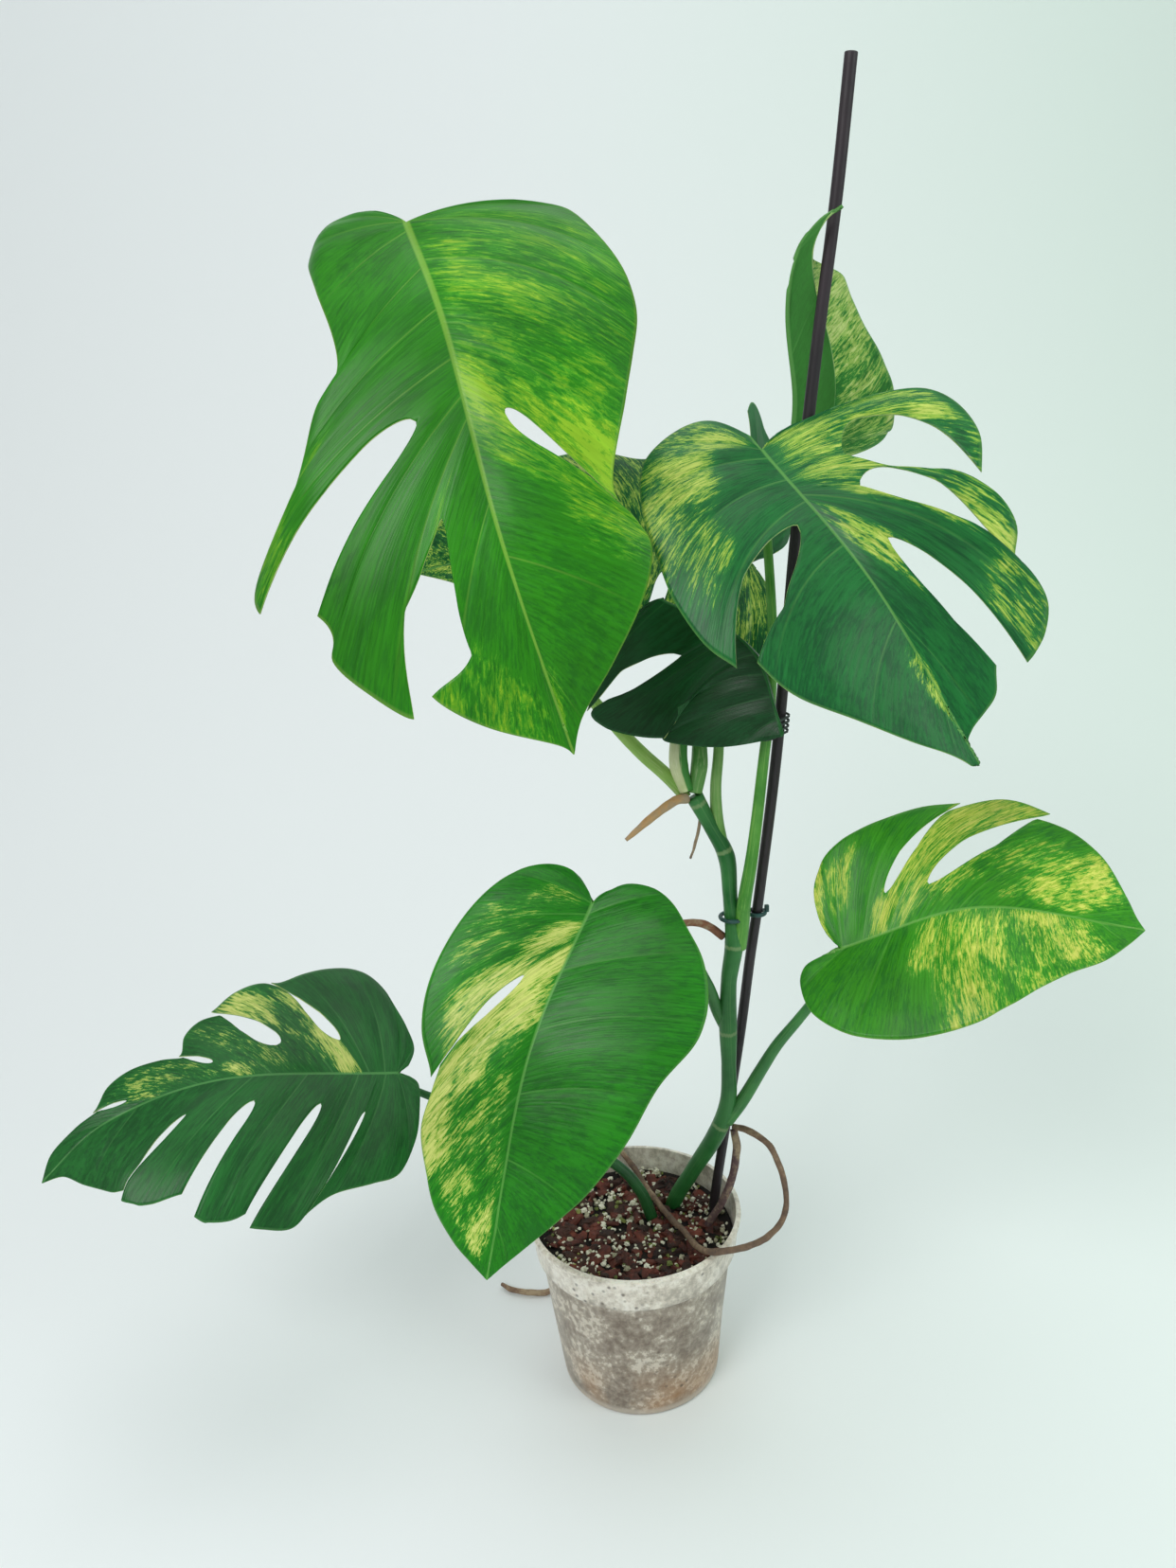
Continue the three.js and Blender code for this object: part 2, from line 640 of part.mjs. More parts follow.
// The blade as one closed sheet: a net of both halves, given its thickness on both sides.
function blade(leaf) {
  const length = curveThrough(leaf.midrib).getLength();
  const surface = bladeSurface(leaf);
  const halves = { left: halfBlade(leaf.left, length), right: halfBlade(leaf.right, length) };
  const stations = midribStations(leaf, length);
  const net = { points: [], keys: new Map(), triangles: [], onMidrib: [] };

  for (const side of ["left", "right"]) {
    const half = halves[side];
    const numbers = [];
    const fan = Math.ceil(half.firstVein / 1.3);
    for (let k = 0; k < fan; k++) numbers.push((half.firstVein * k) / fan);
    for (const x of [0, ...stations]) numbers.push(half.numberAt(x));
    numbers.push(half.last);
    for (let k = 0; k + 1 < half.edges.length; k++) {
      const inside = numbers.filter((i) => i >= half.edges[k] - 1e-6 && i <= half.edges[k + 1] + 1e-6);
      const columns = inside.map((i) => column(half, k, i, side));
      weave(columns, side);
    }
  }

  function column(half, lobe, i, side) {
    const start = half.start(i);
    const rows = [];
    for (let k = 0; k <= INNER_ROWS; k++) rows.push((start * k) / INNER_ROWS);
    for (let k = 1; k <= OUTER_ROWS; k++) rows.push(start + ((1 - start) * k) / OUTER_ROWS);
    return rows.map((r) => {
      const flat = half.point(lobe, i, r);
      return addPoint(surface(flat.x, Math.max(flat.y, 0), side, half.droop(lobe, i)), flat);
    });
  }

  function addPoint(p, flat) {
    const key = [p.x, p.y, p.z].map((c) => Math.round(c * 50)).join(" ");
    if (!net.keys.has(key)) {
      net.keys.set(key, net.points.length);
      net.points.push(p);
      net.onMidrib.push(flat.y < 0.01 ? 1 - THREE.MathUtils.clamp(flat.x / length, 0, 1) : 0);
    }
    return net.keys.get(key);
  }

  function weave(columns, side) {
    for (let c = 0; c + 1 < columns.length; c++) {
      for (let r = 0; r + 1 < columns[c].length; r++) {
        const [a, b, d, e] = [columns[c][r], columns[c][r + 1], columns[c + 1][r], columns[c + 1][r + 1]];
        const corners = [[a, b, e], [a, e, d]];
        for (const [p, q, s] of corners) {
          if (p === q || q === s || s === p) continue;
          net.triangles.push(side === "left" ? [p, q, s] : [p, s, q]);
        }
      }
    }
  }

  return thicken(net);
}

// Where veins leave the midrib: at every slit's vein on either side, and evenly between.
function midribStations(leaf, length) {
  const fixed = [...leaf.left.slits, ...leaf.right.slits].map((s) => s.vein);
  const stops = [0, ...new Set(fixed), 0.94 * length].sort((a, b) => a - b);
  const stations = [];
  for (let k = 0; k + 1 < stops.length; k++) {
    const parts = Math.max(1, Math.round((stops[k + 1] - stops[k]) / STATION));
    for (let n = 1; n <= parts; n++) {
      const x = lerp(stops[k], stops[k + 1], n / parts);
      if (x < 0.94 * length - 1e-6) stations.push(x);
    }
  }
  return stations;
}

// Two skins half the blade's thickness above and below the net, joined along its free edges.
function thicken(net) {
  const sheet = new THREE.BufferGeometry()
    .setAttribute("position", new THREE.Float32BufferAttribute(net.points.flatMap((p) => [p.x, p.y, p.z]), 3))
    .setIndex(net.triangles.flat());
  sheet.computeVertexNormals();
  const normal = sheet.getAttribute("normal");
  const count = net.points.length;
  const positions = [];
  for (const level of [1, -1]) {
    net.points.forEach((p, k) => {
      const rib = level < 0 && net.onMidrib[k] > 0 ? RIB * (0.3 + 0.7 * net.onMidrib[k]) : 0;
      const shift = (level * BLADE) / 2 - rib;
      positions.push(
        p.x + shift * normal.getX(k), p.y + shift * normal.getY(k), p.z + shift * normal.getZ(k),
      );
    });
  }
  const index = [];
  const edges = new Map();
  for (const [a, b, c] of net.triangles) {
    index.push(a, b, c, a + count, c + count, b + count);
    for (const [p, q] of [[a, b], [b, c], [c, a]]) {
      if (edges.has(q + " " + p)) edges.delete(q + " " + p);
      else edges.set(p + " " + q, [p, q]);
    }
  }
  for (const [p, q] of edges.values()) index.push(p, p + count, q + count, p, q + count, q);
  return new THREE.BufferGeometry()
    .setAttribute("position", new THREE.Float32BufferAttribute(positions, 3))
    .setIndex(index);
}

function leafMesh(name, leaf) {
  const base = vec(leaf.midrib[0]);
  const geometry = blade(leaf).translate(-base.x, -base.y, -base.z);
  const mesh = paint("leaf_" + name, geometry, leaf.colour, 0.42);
  mesh.position.copy(base);
  return mesh;
}

// Stem, petioles and roots

const stemLimb = (grow = 0) => limb(STEM.route, STEM.radii, STEM.steps, STEM.sides, grow);

// A petiole meets its blade squarely from below, a hair clear of the midrib.
function petioleRoute(name) {
  const leaf = LEAVES[name];
  const along = curveThrough(leaf.midrib).getTangentAt(0);
  const face = vec(leaf.face[0]);
  const up = face.addScaledVector(along, -face.dot(along)).normalize();
  const under = leaf.under ? vec(leaf.under).normalize() : up.negate();
  const below = (distance) => vec(leaf.midrib[0]).addScaledVector(under, distance).toArray();
  const seat = BLADE / 2 + RIB + GAP + (leaf.seatDrop || 0);
  return [...PETIOLES[name].route, below(seat + APPROACH), below(seat)];
}

function petioleLimb(name, grow = 0) {
  const route = petioleRoute(name);
  const { radii } = PETIOLES[name];
  const tip = radii[radii.length - 1];
  return limb(route, [...radii, tip, tip], 2 * route.length, 8, grow);
}

const rootLimb = (root, grow = 0) => limb(root.route, root.radii, root.steps, root.sides, grow);

function stakeLimb(grow = 0) {
  const radius = STAKE.radius + grow;
  const section = new THREE.Shape();
  for (let k = 0; k < STAKE.sides; k++) {
    const angle = (2 * Math.PI * k) / STAKE.sides;
    section[k ? "lineTo" : "moveTo"](radius * Math.cos(angle), radius * Math.sin(angle));
  }
  return new THREE.ExtrudeGeometry(section, {
    steps: 2 * STAKE.route.length,
    extrudePath: curveThrough(STAKE.route),
  });
}

// Pot

function potProfile() {
  const p = POT;
  const innerFoot = p.footRadius - p.wall - 1;
  return [
    [0, 0], [p.padRadius, 0], [p.padRadius + 1.5, p.recess], [p.recessRadius, p.recess],
    [p.recessRadius + 1.5, 0], [p.footRadius - p.footChamfer, 0], [p.footRadius, p.footChamfer],
    [p.shoulderRadius, p.shoulderHeight - 1.5], [p.bandRadius - 1, p.shoulderHeight],
    [p.bandRadius, p.shoulderHeight + 1.5], [p.rimRadius, p.height - p.lip - 0.8],
    [p.lipRadius, p.height - p.lip], [p.lipRadius, p.height - 0.7], [p.lipRadius - 1, p.height],
    [p.rimRadius - p.wall, p.height], [p.rimRadius - p.wall - 0.6, p.height - p.lip],
    [p.bandRadius - p.wall, p.shoulderHeight + 3], [p.shoulderRadius - p.wall, p.shoulderHeight - 2],
    [innerFoot, p.floor + 2], [innerFoot - 2, p.floor], [0, p.floor],
  ];
}

const lathe = (profile) =>
  new THREE.LatheGeometry(profile.map((q) => new THREE.Vector2(q[0], q[1])), POT.segments).rotateX(Math.PI / 2);

// Radius of the pot's inner wall at a height.
function insideRadius(z) {
  const p = POT;
  return along(
    [
      [p.floor, p.footRadius - p.wall - 3],
      [p.floor + 2, p.footRadius - p.wall - 1],
      [p.shoulderHeight - 2, p.shoulderRadius - p.wall],
      [p.shoulderHeight + 3, p.bandRadius - p.wall],
      [p.height - p.lip, p.rimRadius - p.wall - 0.6],
    ],
    z,
  );
}

function pot() {
  let solid = toSolid(lathe(potProfile()));
  for (let k = 0; k < POT.drainHoles; k++) {
    const angle = (2 * Math.PI * k) / POT.drainHoles;
    const hole = new THREE.CylinderGeometry(POT.drainRadius, POT.drainRadius, 3 * POT.floor, 8)
      .rotateX(Math.PI / 2)
      .translate(POT.drainCircle * Math.cos(angle), POT.drainCircle * Math.sin(angle), 0);
    solid = solid.subtract(toSolid(hole));
  }
  return paint("pot", toGeometry(solid), 0xcfc5b4, 0.45);
}

// Potting mix: a filled body whose top is covered with bark chips and pale grains.
function substrate(cutters) {
  const s = SUBSTRATE;
  const random = seeded(s.seed);
  const between = ([low, high]) => lerp(low, high, random());
  const wall = (z) => insideRadius(z) - 0.5;
  const body = lathe([
    [0, POT.floor + GAP], [wall(POT.floor) - 1, POT.floor + GAP], [wall(POT.floor + 2.5), POT.floor + 3],
    [wall(POT.shoulderHeight - 2), POT.shoulderHeight - 2.4], [wall(s.top - 2), s.top - 2],
    [wall(s.top) - 4, s.top], [0, s.top + s.crown],
  ]);
  let solid = toSolid(body);
  const spread = wall(s.top) - 5;
  const place = (margin) => {
    const radius = (spread - margin) * Math.sqrt(random());
    const angle = 2 * Math.PI * random();
    const z = s.top + s.crown * (1 - radius / spread);
    return [radius * Math.cos(angle), radius * Math.sin(angle), z];
  };
  const bumps = [];
  for (let k = 0; k < s.chips; k++) {
    const length = between(s.chipLength);
    const chip = new THREE.BoxGeometry(length, between(s.chipWidth), between(s.chipThickness))
      .rotateX(0.5 * (random() - 0.5))
      .rotateY(0.7 * (random() - 0.5))
      .rotateZ(2 * Math.PI * random())
      .translate(...place(length / 2));
    bumps.push(toSolid(chip));
  }
  for (let k = 0; k < s.grains; k++) {
    const radius = between(s.grainRadius);
    const [x, y, z] = place(radius);
    const grain = new THREE.OctahedronGeometry(radius)
      .rotateX(random())
      .rotateY(random())
      .translate(x, y, z + 1.6);
    bumps.push(toSolid(grain));
  }
  solid = bumps.reduce((whole, bump) => whole.add(bump), solid);
  solid = cutters.reduce((whole, cutter) => whole.subtract(cutter), solid);
  return paint("substrate", toGeometry(biggest(solid)), 0x4a2a22, 0.95);
}

// The point of a rising route at a height.
function atHeight(route, z) {
  const curve = curveThrough(route);
  let low = 0;
  let high = 1;
  for (let k = 0; k < 24; k++) {
    const middle = (low + high) / 2;
    if (curve.getPoint(middle).z < z) low = middle;
    else high = middle;
  }
  return curve.getPoint(low);
}

// Vine clip: one ring round the stem and one round the stake, joined behind the petiole, with a thumb knob.
function clip(petiole) {
  const stem = atHeight(STEM.route, CLIP.z);
  const stake = atHeight(STAKE.route, CLIP.z);
  const stemReach = CLIP.stemRadius + CLIP.clearance + CLIP.wire;
  const stakeReach = STAKE.radius + CLIP.clearance + CLIP.wire;
  const ring = (centre, radius) =>
    toSolid(
      new THREE.TorusGeometry(radius, CLIP.wire, CLIP.sides, CLIP.segments).translate(centre.x, centre.y, CLIP.z),
    );
  const corner = Math.SQRT1_2 * stemReach;
  const from = [stem.x + corner - 0.5, stem.y + corner, CLIP.z];
  const to = [stake.x - stakeReach + 0.5, stake.y, CLIP.z];
  const middle = [(from[0] + to[0]) / 2, (from[1] + to[1]) / 2, CLIP.z];
  const bridge = toSolid(limb([from, middle, to], [1, 1, 1].map((n) => n * CLIP.wire), 4, 8));
  const knob = toSolid(
    new THREE.BoxGeometry(CLIP.knob[0], CLIP.knob[1], CLIP.knob[2]).translate(
      stake.x + stakeReach + 1.2, stake.y, CLIP.z + CLIP.knob[2] / 2,
    ),
  );
  const whole = ring(stem, stemReach).add(ring(stake, stakeReach)).add(bridge).add(knob);
  return paint("vine_clip", toGeometry(biggest(whole.subtract(petiole))), 0x173d3a, 0.5);
}

// Tie: a few turns of thin wire round the stake and the petiole beside it.
function tie() {
  const reach = STAKE.radius + TIE.clearance + TIE.wire;
  const total = TIE.turns * TIE.stepsPerTurn;
  const points = [];
  for (let k = 0; k <= total; k++) {
    const z = TIE.z + (k / TIE.stepsPerTurn - TIE.turns / 2) * TIE.pitch;
    const stake = atHeight(STAKE.route, z);
    const petiole = atHeight(PETIOLES.b.route, z);
    const turn = Math.atan2(petiole.y - stake.y, petiole.x - stake.x);
    const angle = (2 * Math.PI * (k + 0.5)) / TIE.stepsPerTurn;
    const centre = Math.cos(angle) > 0 ? petiole : stake;
    points.push([centre.x + reach * Math.cos(angle + turn), centre.y + reach * Math.sin(angle + turn), z]);
  }
  return paint("stake_tie", limb(points, points.map(() => TIE.wire), 2 * total, 5), 0x1b2a26, 0.6);
}

// The whole plant

function build() {
  const object = new THREE.Group();
  object.name = "potted_monstera";

  const stemSolid = toSolid(stemLimb());
  const grownStem = toSolid(stemLimb(GAP));
  const grownStake = toSolid(stakeLimb(GAP));
  const grownPetioles = {};

  const plant = new THREE.Group();
  plant.add(paint("stem", toGeometry(stemSolid), 0x2f7a35, 0.5));
  for (const [name, leaf] of Object.entries(LEAVES)) plant.add(leafMesh(name, leaf));

  // Each petiole is seated in the stem, and later ones clear those before them.
  let taken = grownStem;
  for (const [name, petiole] of Object.entries(PETIOLES)) {
    const seated = biggest(toSolid(petioleLimb(name)).subtract(taken));
    plant.add(paint("petiole_" + name, toGeometry(seated), petiole.colour, 0.5));
    grownPetioles[name] = toSolid(petioleLimb(name, GAP));
    taken = taken.add(grownPetioles[name]);
  }
  const grownRoots = [];
  for (const [name, root] of Object.entries(ROOTS)) {
    const solid = biggest(toSolid(rootLimb(root)).subtract(taken).subtract(grownStake));
    plant.add(paint("root_" + name, toGeometry(solid), root.colour, 0.8));
    grownRoots.push(toSolid(rootLimb(root, GAP)));
    taken = taken.add(grownRoots[grownRoots.length - 1]);
  }
  object.add(plant);

  const holder = new THREE.Group();
  holder.add(pot());
  holder.add(substrate([grownStem, grownStake, grownPetioles.e, ...grownRoots]));
  holder.add(paint("stake", stakeLimb(), 0x2a1f26, 0.7));
  holder.add(clip(grownPetioles.b));
  holder.add(tie());
  object.add(holder);
  return object;
}

export default build();
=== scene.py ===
"""A potted variegated monstera: eight leaves on a climbing stem, tied to a dark stake in a milky nursery pot.

The lists of sizes are in millimetres and everything in Blender is in metres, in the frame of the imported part.
"""

import math
import random

import bmesh
import bpy
import numpy as np
from mathutils import Euler, Matrix, Vector, noise


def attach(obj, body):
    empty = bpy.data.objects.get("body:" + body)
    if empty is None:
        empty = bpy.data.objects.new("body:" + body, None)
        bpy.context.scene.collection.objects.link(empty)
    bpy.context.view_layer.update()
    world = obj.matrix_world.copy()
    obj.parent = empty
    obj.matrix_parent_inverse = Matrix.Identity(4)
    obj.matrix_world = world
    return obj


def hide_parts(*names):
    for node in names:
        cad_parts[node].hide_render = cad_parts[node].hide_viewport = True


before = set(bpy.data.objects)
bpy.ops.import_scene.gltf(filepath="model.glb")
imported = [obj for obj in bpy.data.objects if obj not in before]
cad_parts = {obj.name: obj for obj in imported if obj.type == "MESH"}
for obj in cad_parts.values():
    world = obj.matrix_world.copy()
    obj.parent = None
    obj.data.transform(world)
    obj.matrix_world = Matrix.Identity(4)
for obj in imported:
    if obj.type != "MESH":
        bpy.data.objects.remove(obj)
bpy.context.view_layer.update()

MM = 0.001
TURN = 2 * math.pi

# Pot, as turned: foot, wall, rim band and lip
POT = {
    "height": 127,
    "foot_radius": 56,
    "foot_chamfer": 1.5,
    "pad_radius": 18,
    "recess_radius": 47,
    "recess": 1.8,
    "floor": 3.6,
    "wall": 1.6,
    "shoulder_height": 101,
    "shoulder_radius": 66.5,
    "band_radius": 70.3,
    "rim_radius": 72.6,
    "lip_radius": 74.2,
    "lip": 2.6,
    "drain_holes": 6,
    "drain_radius": 4,
    "drain_circle": 33,
}
MIX_TOP = 111
MIX_CROWN = 2.5
MIX_RADIUS = 66
MIX_SEED = 11  # for the random draws and the noise that shape the loose pieces
STAKE_RADIUS = 3.4
CLIP = {"z": 344, "wire": 1.4, "stem_radius": 5.9, "clearance": 0.5, "knob": (3, 2.4, 5)}
TIE = {"z": 474, "turns": 4, "pitch": 3.2, "wire": 0.8, "clearance": 1, "steps_per_turn": 24}

# Blades
BLADE = 0.85  # thickness
RIB = 1.5  # depth of the midrib below the blade, at the petiole
GAP = 0.35  # air between two pieces that meet
APPROACH = 7  # straight end of a petiole
VEIN_BOW = 0.1  # how far a side vein bends, as a share of its reach
CREASE = (34, 0, 38)  # where a blade droops: distance from the midrib, its change along it, and width
NOTCH = (20, 60)  # degrees by which the blade behind the joint turns down, and over what length
CORNER = 0.08  # how much the corner of a lobe is rounded off
TIP_START = 0.94  # share of the midrib where the last side vein leaves it
MESH_STEP = 2.7  # length of a face along the midrib or the margin
VEIN_SPACING = 46  # margin between two side veins
QUILT = 0.9  # how far the blade puffs up between its veins
GROOVE = 0.35  # depth of the crease along a side vein

# The blade's UV maps: vein phase and share of the vein; millimetres along and beside the midrib; width of a
# vein's space and how pale the blade is
UV_MAPS = ("along_veins", "across_leaf", "splashes_and_sheen")


def slit(at, vein, start, half, droop=(0, 0), closes=1):
    """A slit along vein number at, which leaves the midrib at the distance vein.

    It starts at a share of that vein. half is half its width there, midway and at its end, droop is how far
    the lobe before it hangs at both its edges, and closes is the share of the rest at which it ends.
    """
    return {"at": at, "vein": vein, "from": start, "half": half, "droop": droop, "closes": closes}


def half_blade(fold, curl, margin, slits=(), bow=VEIN_BOW, crease=CREASE):
    """One side of a leaf drawn flat: x runs along the midrib from the petiole joint, y out to the side."""
    return {"fold": fold, "curl": curl, "margin": margin, "slits": slits, "bow": bow, "crease": crease}


LEAVES = {
    "a": {
        "midrib": [(-98, 20, 765), (-77, -30, 707), (-53, -75, 600), (-22, -90, 487)],
        "face": [(-0.05, -0.93, 0.35)],
        "notch": (40, 40),
        "left": half_blade(fold=4, curl=16, crease=(44, 0.26, 24), margin=[
            (-22, 17), (-30, 28), (-28, 44), (-14, 61), (19, 60), (80, 60), (103, 78), (140, 100),
            (187, 146), (220, 108), (233, 107), (252, 93), (270, 77), (273, 65), (291, 37), (309, 7),
            (317, 0),
        ], slits=[
            slit(8.5, 113, 0.19, (8, 13, 20), (75, 12)),
            slit(12.6, 137, 0.33, (7.5, 12, 4)),
        ]),
        "right": half_blade(fold=4, curl=30, margin=[
            (15, 73), (23, 87), (41, 96), (61, 103), (77, 105), (94, 103), (115, 94), (140, 83), (187, 64),
            (212, 74), (228, 76), (251, 62), (277, 36), (299, 11), (317, 0),
        ], slits=[
            slit(8.3, 116, 0.26, (10, 6, 0.4), closes=0.8),
        ]),
    },
    "b": {
        "midrib": [(91, -19, 635), (141, -72, 566), (190, -105, 474)],
        "face": [(0.05, -0.7, 0.7)],
        "notch": (30, 60),
        "left": half_blade(fold=8, curl=24, bow=0.3, margin=[
            (-12, 0), (-32, 10), (-37, 27), (-31, 55), (-20, 69), (0, 80), (24, 88), (50, 95), (80, 96),
            (100, 90), (116, 84), (135, 73), (159, 50), (182, 29), (201, 10), (217, 0),
        ], slits=[
            slit(9.5, 49, 0.14, (7.5, 13, 6), (12, 12)),
        ]),
        "right": half_blade(fold=22, curl=15, bow=0.35, crease=(80, 0, 50), margin=[
            (-2, 9), (-1, 24), (6, 48), (14, 72), (26, 92), (43, 101), (64, 97), (85, 80), (90, 80),
            (100, 83), (114, 80), (126, 70), (131, 72), (144, 75), (156, 73), (167, 64), (173, 55),
            (176, 48), (180, 34), (186, 26), (189, 16), (193, 6), (200, 0), (217, 0),
        ], slits=[
            slit(7.5, 19, 0.31, (6, 4.8, 2), (55, 55)),
            slit(11.5, 32, 0.27, (5, 5, 1), (55, 55)),
            slit(17.5, 39, 0.34, (7, 11.5, 8), (55, 55)),
        ]),
    },
    "c": {
        "midrib": [(-17, -45, 380), (-59, -95, 307), (-89, -140, 192)],
        "face": [(-0.1, -0.8, 0.55)],
        "notch": (30, 60),
        "left": half_blade(fold=10, curl=16, margin=[
            (-6, 5), (-14, 18), (-12, 34), (-1, 50), (18, 61), (44, 68), (74, 70), (98, 65), (118, 53),
            (130, 52), (150, 53), (172, 45), (190, 37), (207, 23), (217, 11), (225, 0),
        ], slits=[
            slit(8.2, 26, 0.32, (4.6, 4.2, 0.4), closes=0.72),
        ]),
        "right": half_blade(fold=10, curl=16, margin=[
            (-6, 2.4), (-12, 7.5), (-19, 17), (-21, 32), (-16, 46), (-5, 60), (8, 75), (24, 85), (39, 89),
            (57, 88), (88, 78), (128, 68), (161, 52), (180, 38), (200, 21), (214, 9), (225, 0),
        ]),
    },
    "d": {
        "midrib": [(137, -30, 334), (218, -40, 361), (311, -60, 349)],
        "face": [(0, -0.66, 0.75)],
        "left": half_blade(fold=12, curl=14, margin=[
            (-6, 0.4), (-16, 1.6), (-26, 5), (-31, 16), (-28, 36), (-13, 54), (5, 64), (23, 70), (47, 73),
            (74, 72), (101, 65), (122, 52), (140, 39), (158, 27), (173, 11), (182, 0),
        ]),
        "right": half_blade(fold=12, curl=14, margin=[
            (-4, 6), (-8, 22), (-5, 42), (6, 57), (23, 65), (40, 68), (54, 69), (70, 70), (85, 69),
            (103, 72), (121, 66), (137, 58), (149, 48), (159, 37), (171, 18), (177, 7), (182, 0),
        ], slits=[
            slit(8, 20, 0.3, (4, 5, 0.4), closes=0.9),
            slit(10.2, 41, 0.27, (6, 7.5, 0.5), closes=0.95),
        ]),
    },
    "e": {
        "midrib": [(-158, 20, 233), (-266, -5, 251), (-337, -30, 240), (-378, -50, 210)],
        "face": [(0, -0.42, 0.9), (-0.2, -0.62, 0.75)],
        "left": half_blade(fold=4, curl=20, margin=[
            (-8, 6), (-13, 20), (-9, 38), (-3, 56), (5, 78), (17, 95), (31, 101), (48, 98), (64, 90),
            (80, 79), (92, 81), (106, 71), (117, 57), (127, 50), (135, 39), (139, 25), (152, 27), (169, 28),
            (184, 23), (195, 12), (210, 11), (230, 10), (244, 0),
        ], slits=[
            slit(9.4, 24, 0.3, (6.5, 5.2, 0.4), (3, 3), closes=0.86),
            slit(12.2, 62, 0.36, (8, 6.4, 0.6), (3, 3), closes=0.96),
            slit(15.1, 104, 0.5, (3.5, 2.8, 0.4), (3, 3)),
            slit(19.1, 156, 0.5, (4, 3.2, 0.4), (3, 3)),
        ]),
        "right": half_blade(fold=6, curl=22, margin=[
            (-7, 3), (-14, 10), (-13, 31), (-9, 53), (2, 74), (18, 79), (41, 84), (57, 94), (68, 104),
            (89, 102), (107, 99), (123, 96), (140, 92), (148, 89), (166, 74), (184, 67), (204, 57),
            (208, 51), (213, 44), (223, 27), (231, 9), (244, 0),
        ], slits=[
            slit(7.2, 12, 0.3, (2.4, 1.9, 0.4), (6, 6), closes=0.7),
            slit(9.9, 40, 0.22, (4, 4.5, 5), (8, 8)),
            slit(13.6, 80, 0.22, (5, 6.5, 8), (10, 10)),
            slit(16.5, 110, 0.33, (3.2, 2.8, 0.4), (6, 6), closes=0.62),
        ]),
    },
    "f": {
        "midrib": [(35, 20, 550), (83, -16, 525), (100, -38, 472)],
        "face": [(-0.45, -0.85, 0.25)],
        "under": (0.05, 0.7, -0.7),
        "seat_drop": 1.5,
        "left": half_blade(fold=8, curl=10, margin=[
            (-7, 8), (-12, 23), (-16, 43), (-15, 65), (-10, 80), (-10, 90), (0, 91), (10, 88), (38, 79),
            (48, 76), (53, 69), (60, 60), (74, 56), (88, 58), (99, 64), (106, 71), (112, 58), (118, 36),
            (121, 14), (122, 0),
        ], slits=[
            slit(4.4, 52, 0.33, (5.5, 5.2, 2)),
        ]),
        "right": half_blade(fold=-100, curl=4, margin=[
            (1, 3), (4, 9), (8, 16), (14, 24), (22, 30), (34, 31), (48, 25), (64, 16), (82, 8), (104, 4),
            (122, 0),
        ], slits=[
            slit(5.6, 36, 0.4, (2, 3, 2)),
        ]),
    },
    "g": {
        "midrib": [(99, 92, 560), (-5, 97, 585), (-122, 72, 566)],
        "face": [(0.1, -0.85, 0.5)],
        "left": half_blade(fold=6, curl=20, margin=[
            (-11, 5), (-24, 20), (-20, 55), (-2, 105), (20, 143), (26, 75), (51, 72), (79, 55), (103, 58),
            (123, 55), (151, 54), (181, 51), (207, 33), (226, 0),
        ], slits=[
            slit(4.5, 8, 0.45, (3, 8, 20), (8, 8)),
            slit(9.5, 99, 0.4, (4, 5, 5), (8, 8)),
        ]),
        "right": half_blade(fold=6, curl=24, margin=[
            (-7, 7), (-21, 26), (-24, 54), (-4, 72), (20, 66), (44, 72), (68, 74), (94, 72), (124, 64),
            (156, 48), (186, 30), (207, 12), (226, 0),
        ], slits=[
            slit(3.6, 14, 0.3, (4, 5, 5), (10, 10)),
            slit(5.6, 54, 0.3, (5, 5, 5), (10, 10)),
            slit(7.6, 90, 0.3, (5, 4.5, 4), (8, 8)),
        ]),
    },
    "h": {
        "midrib": [
            (116, 30, 630), (117, 22, 662), (109, 2, 707), (111, -14, 734), (121, -25, 749),
            (136, -30, 756),
        ],
        "face": [(0.35, -0.9, 0.1)],
        "left": half_blade(fold=-6, curl=10, margin=[
            (-8, 11), (-10, 42), (-4, 77), (20, 82), (32, 74), (48, 62), (67, 53), (90, 42), (104, 24),
            (116, 7), (132, 3), (149, 0),
        ]),
        "right": half_blade(fold=138, curl=10, margin=[
            (-4, 4), (-6, 12), (6, 19), (34, 23), (64, 22), (92, 16), (116, 9), (134, 4), (149, 0),
        ]),
    },
}
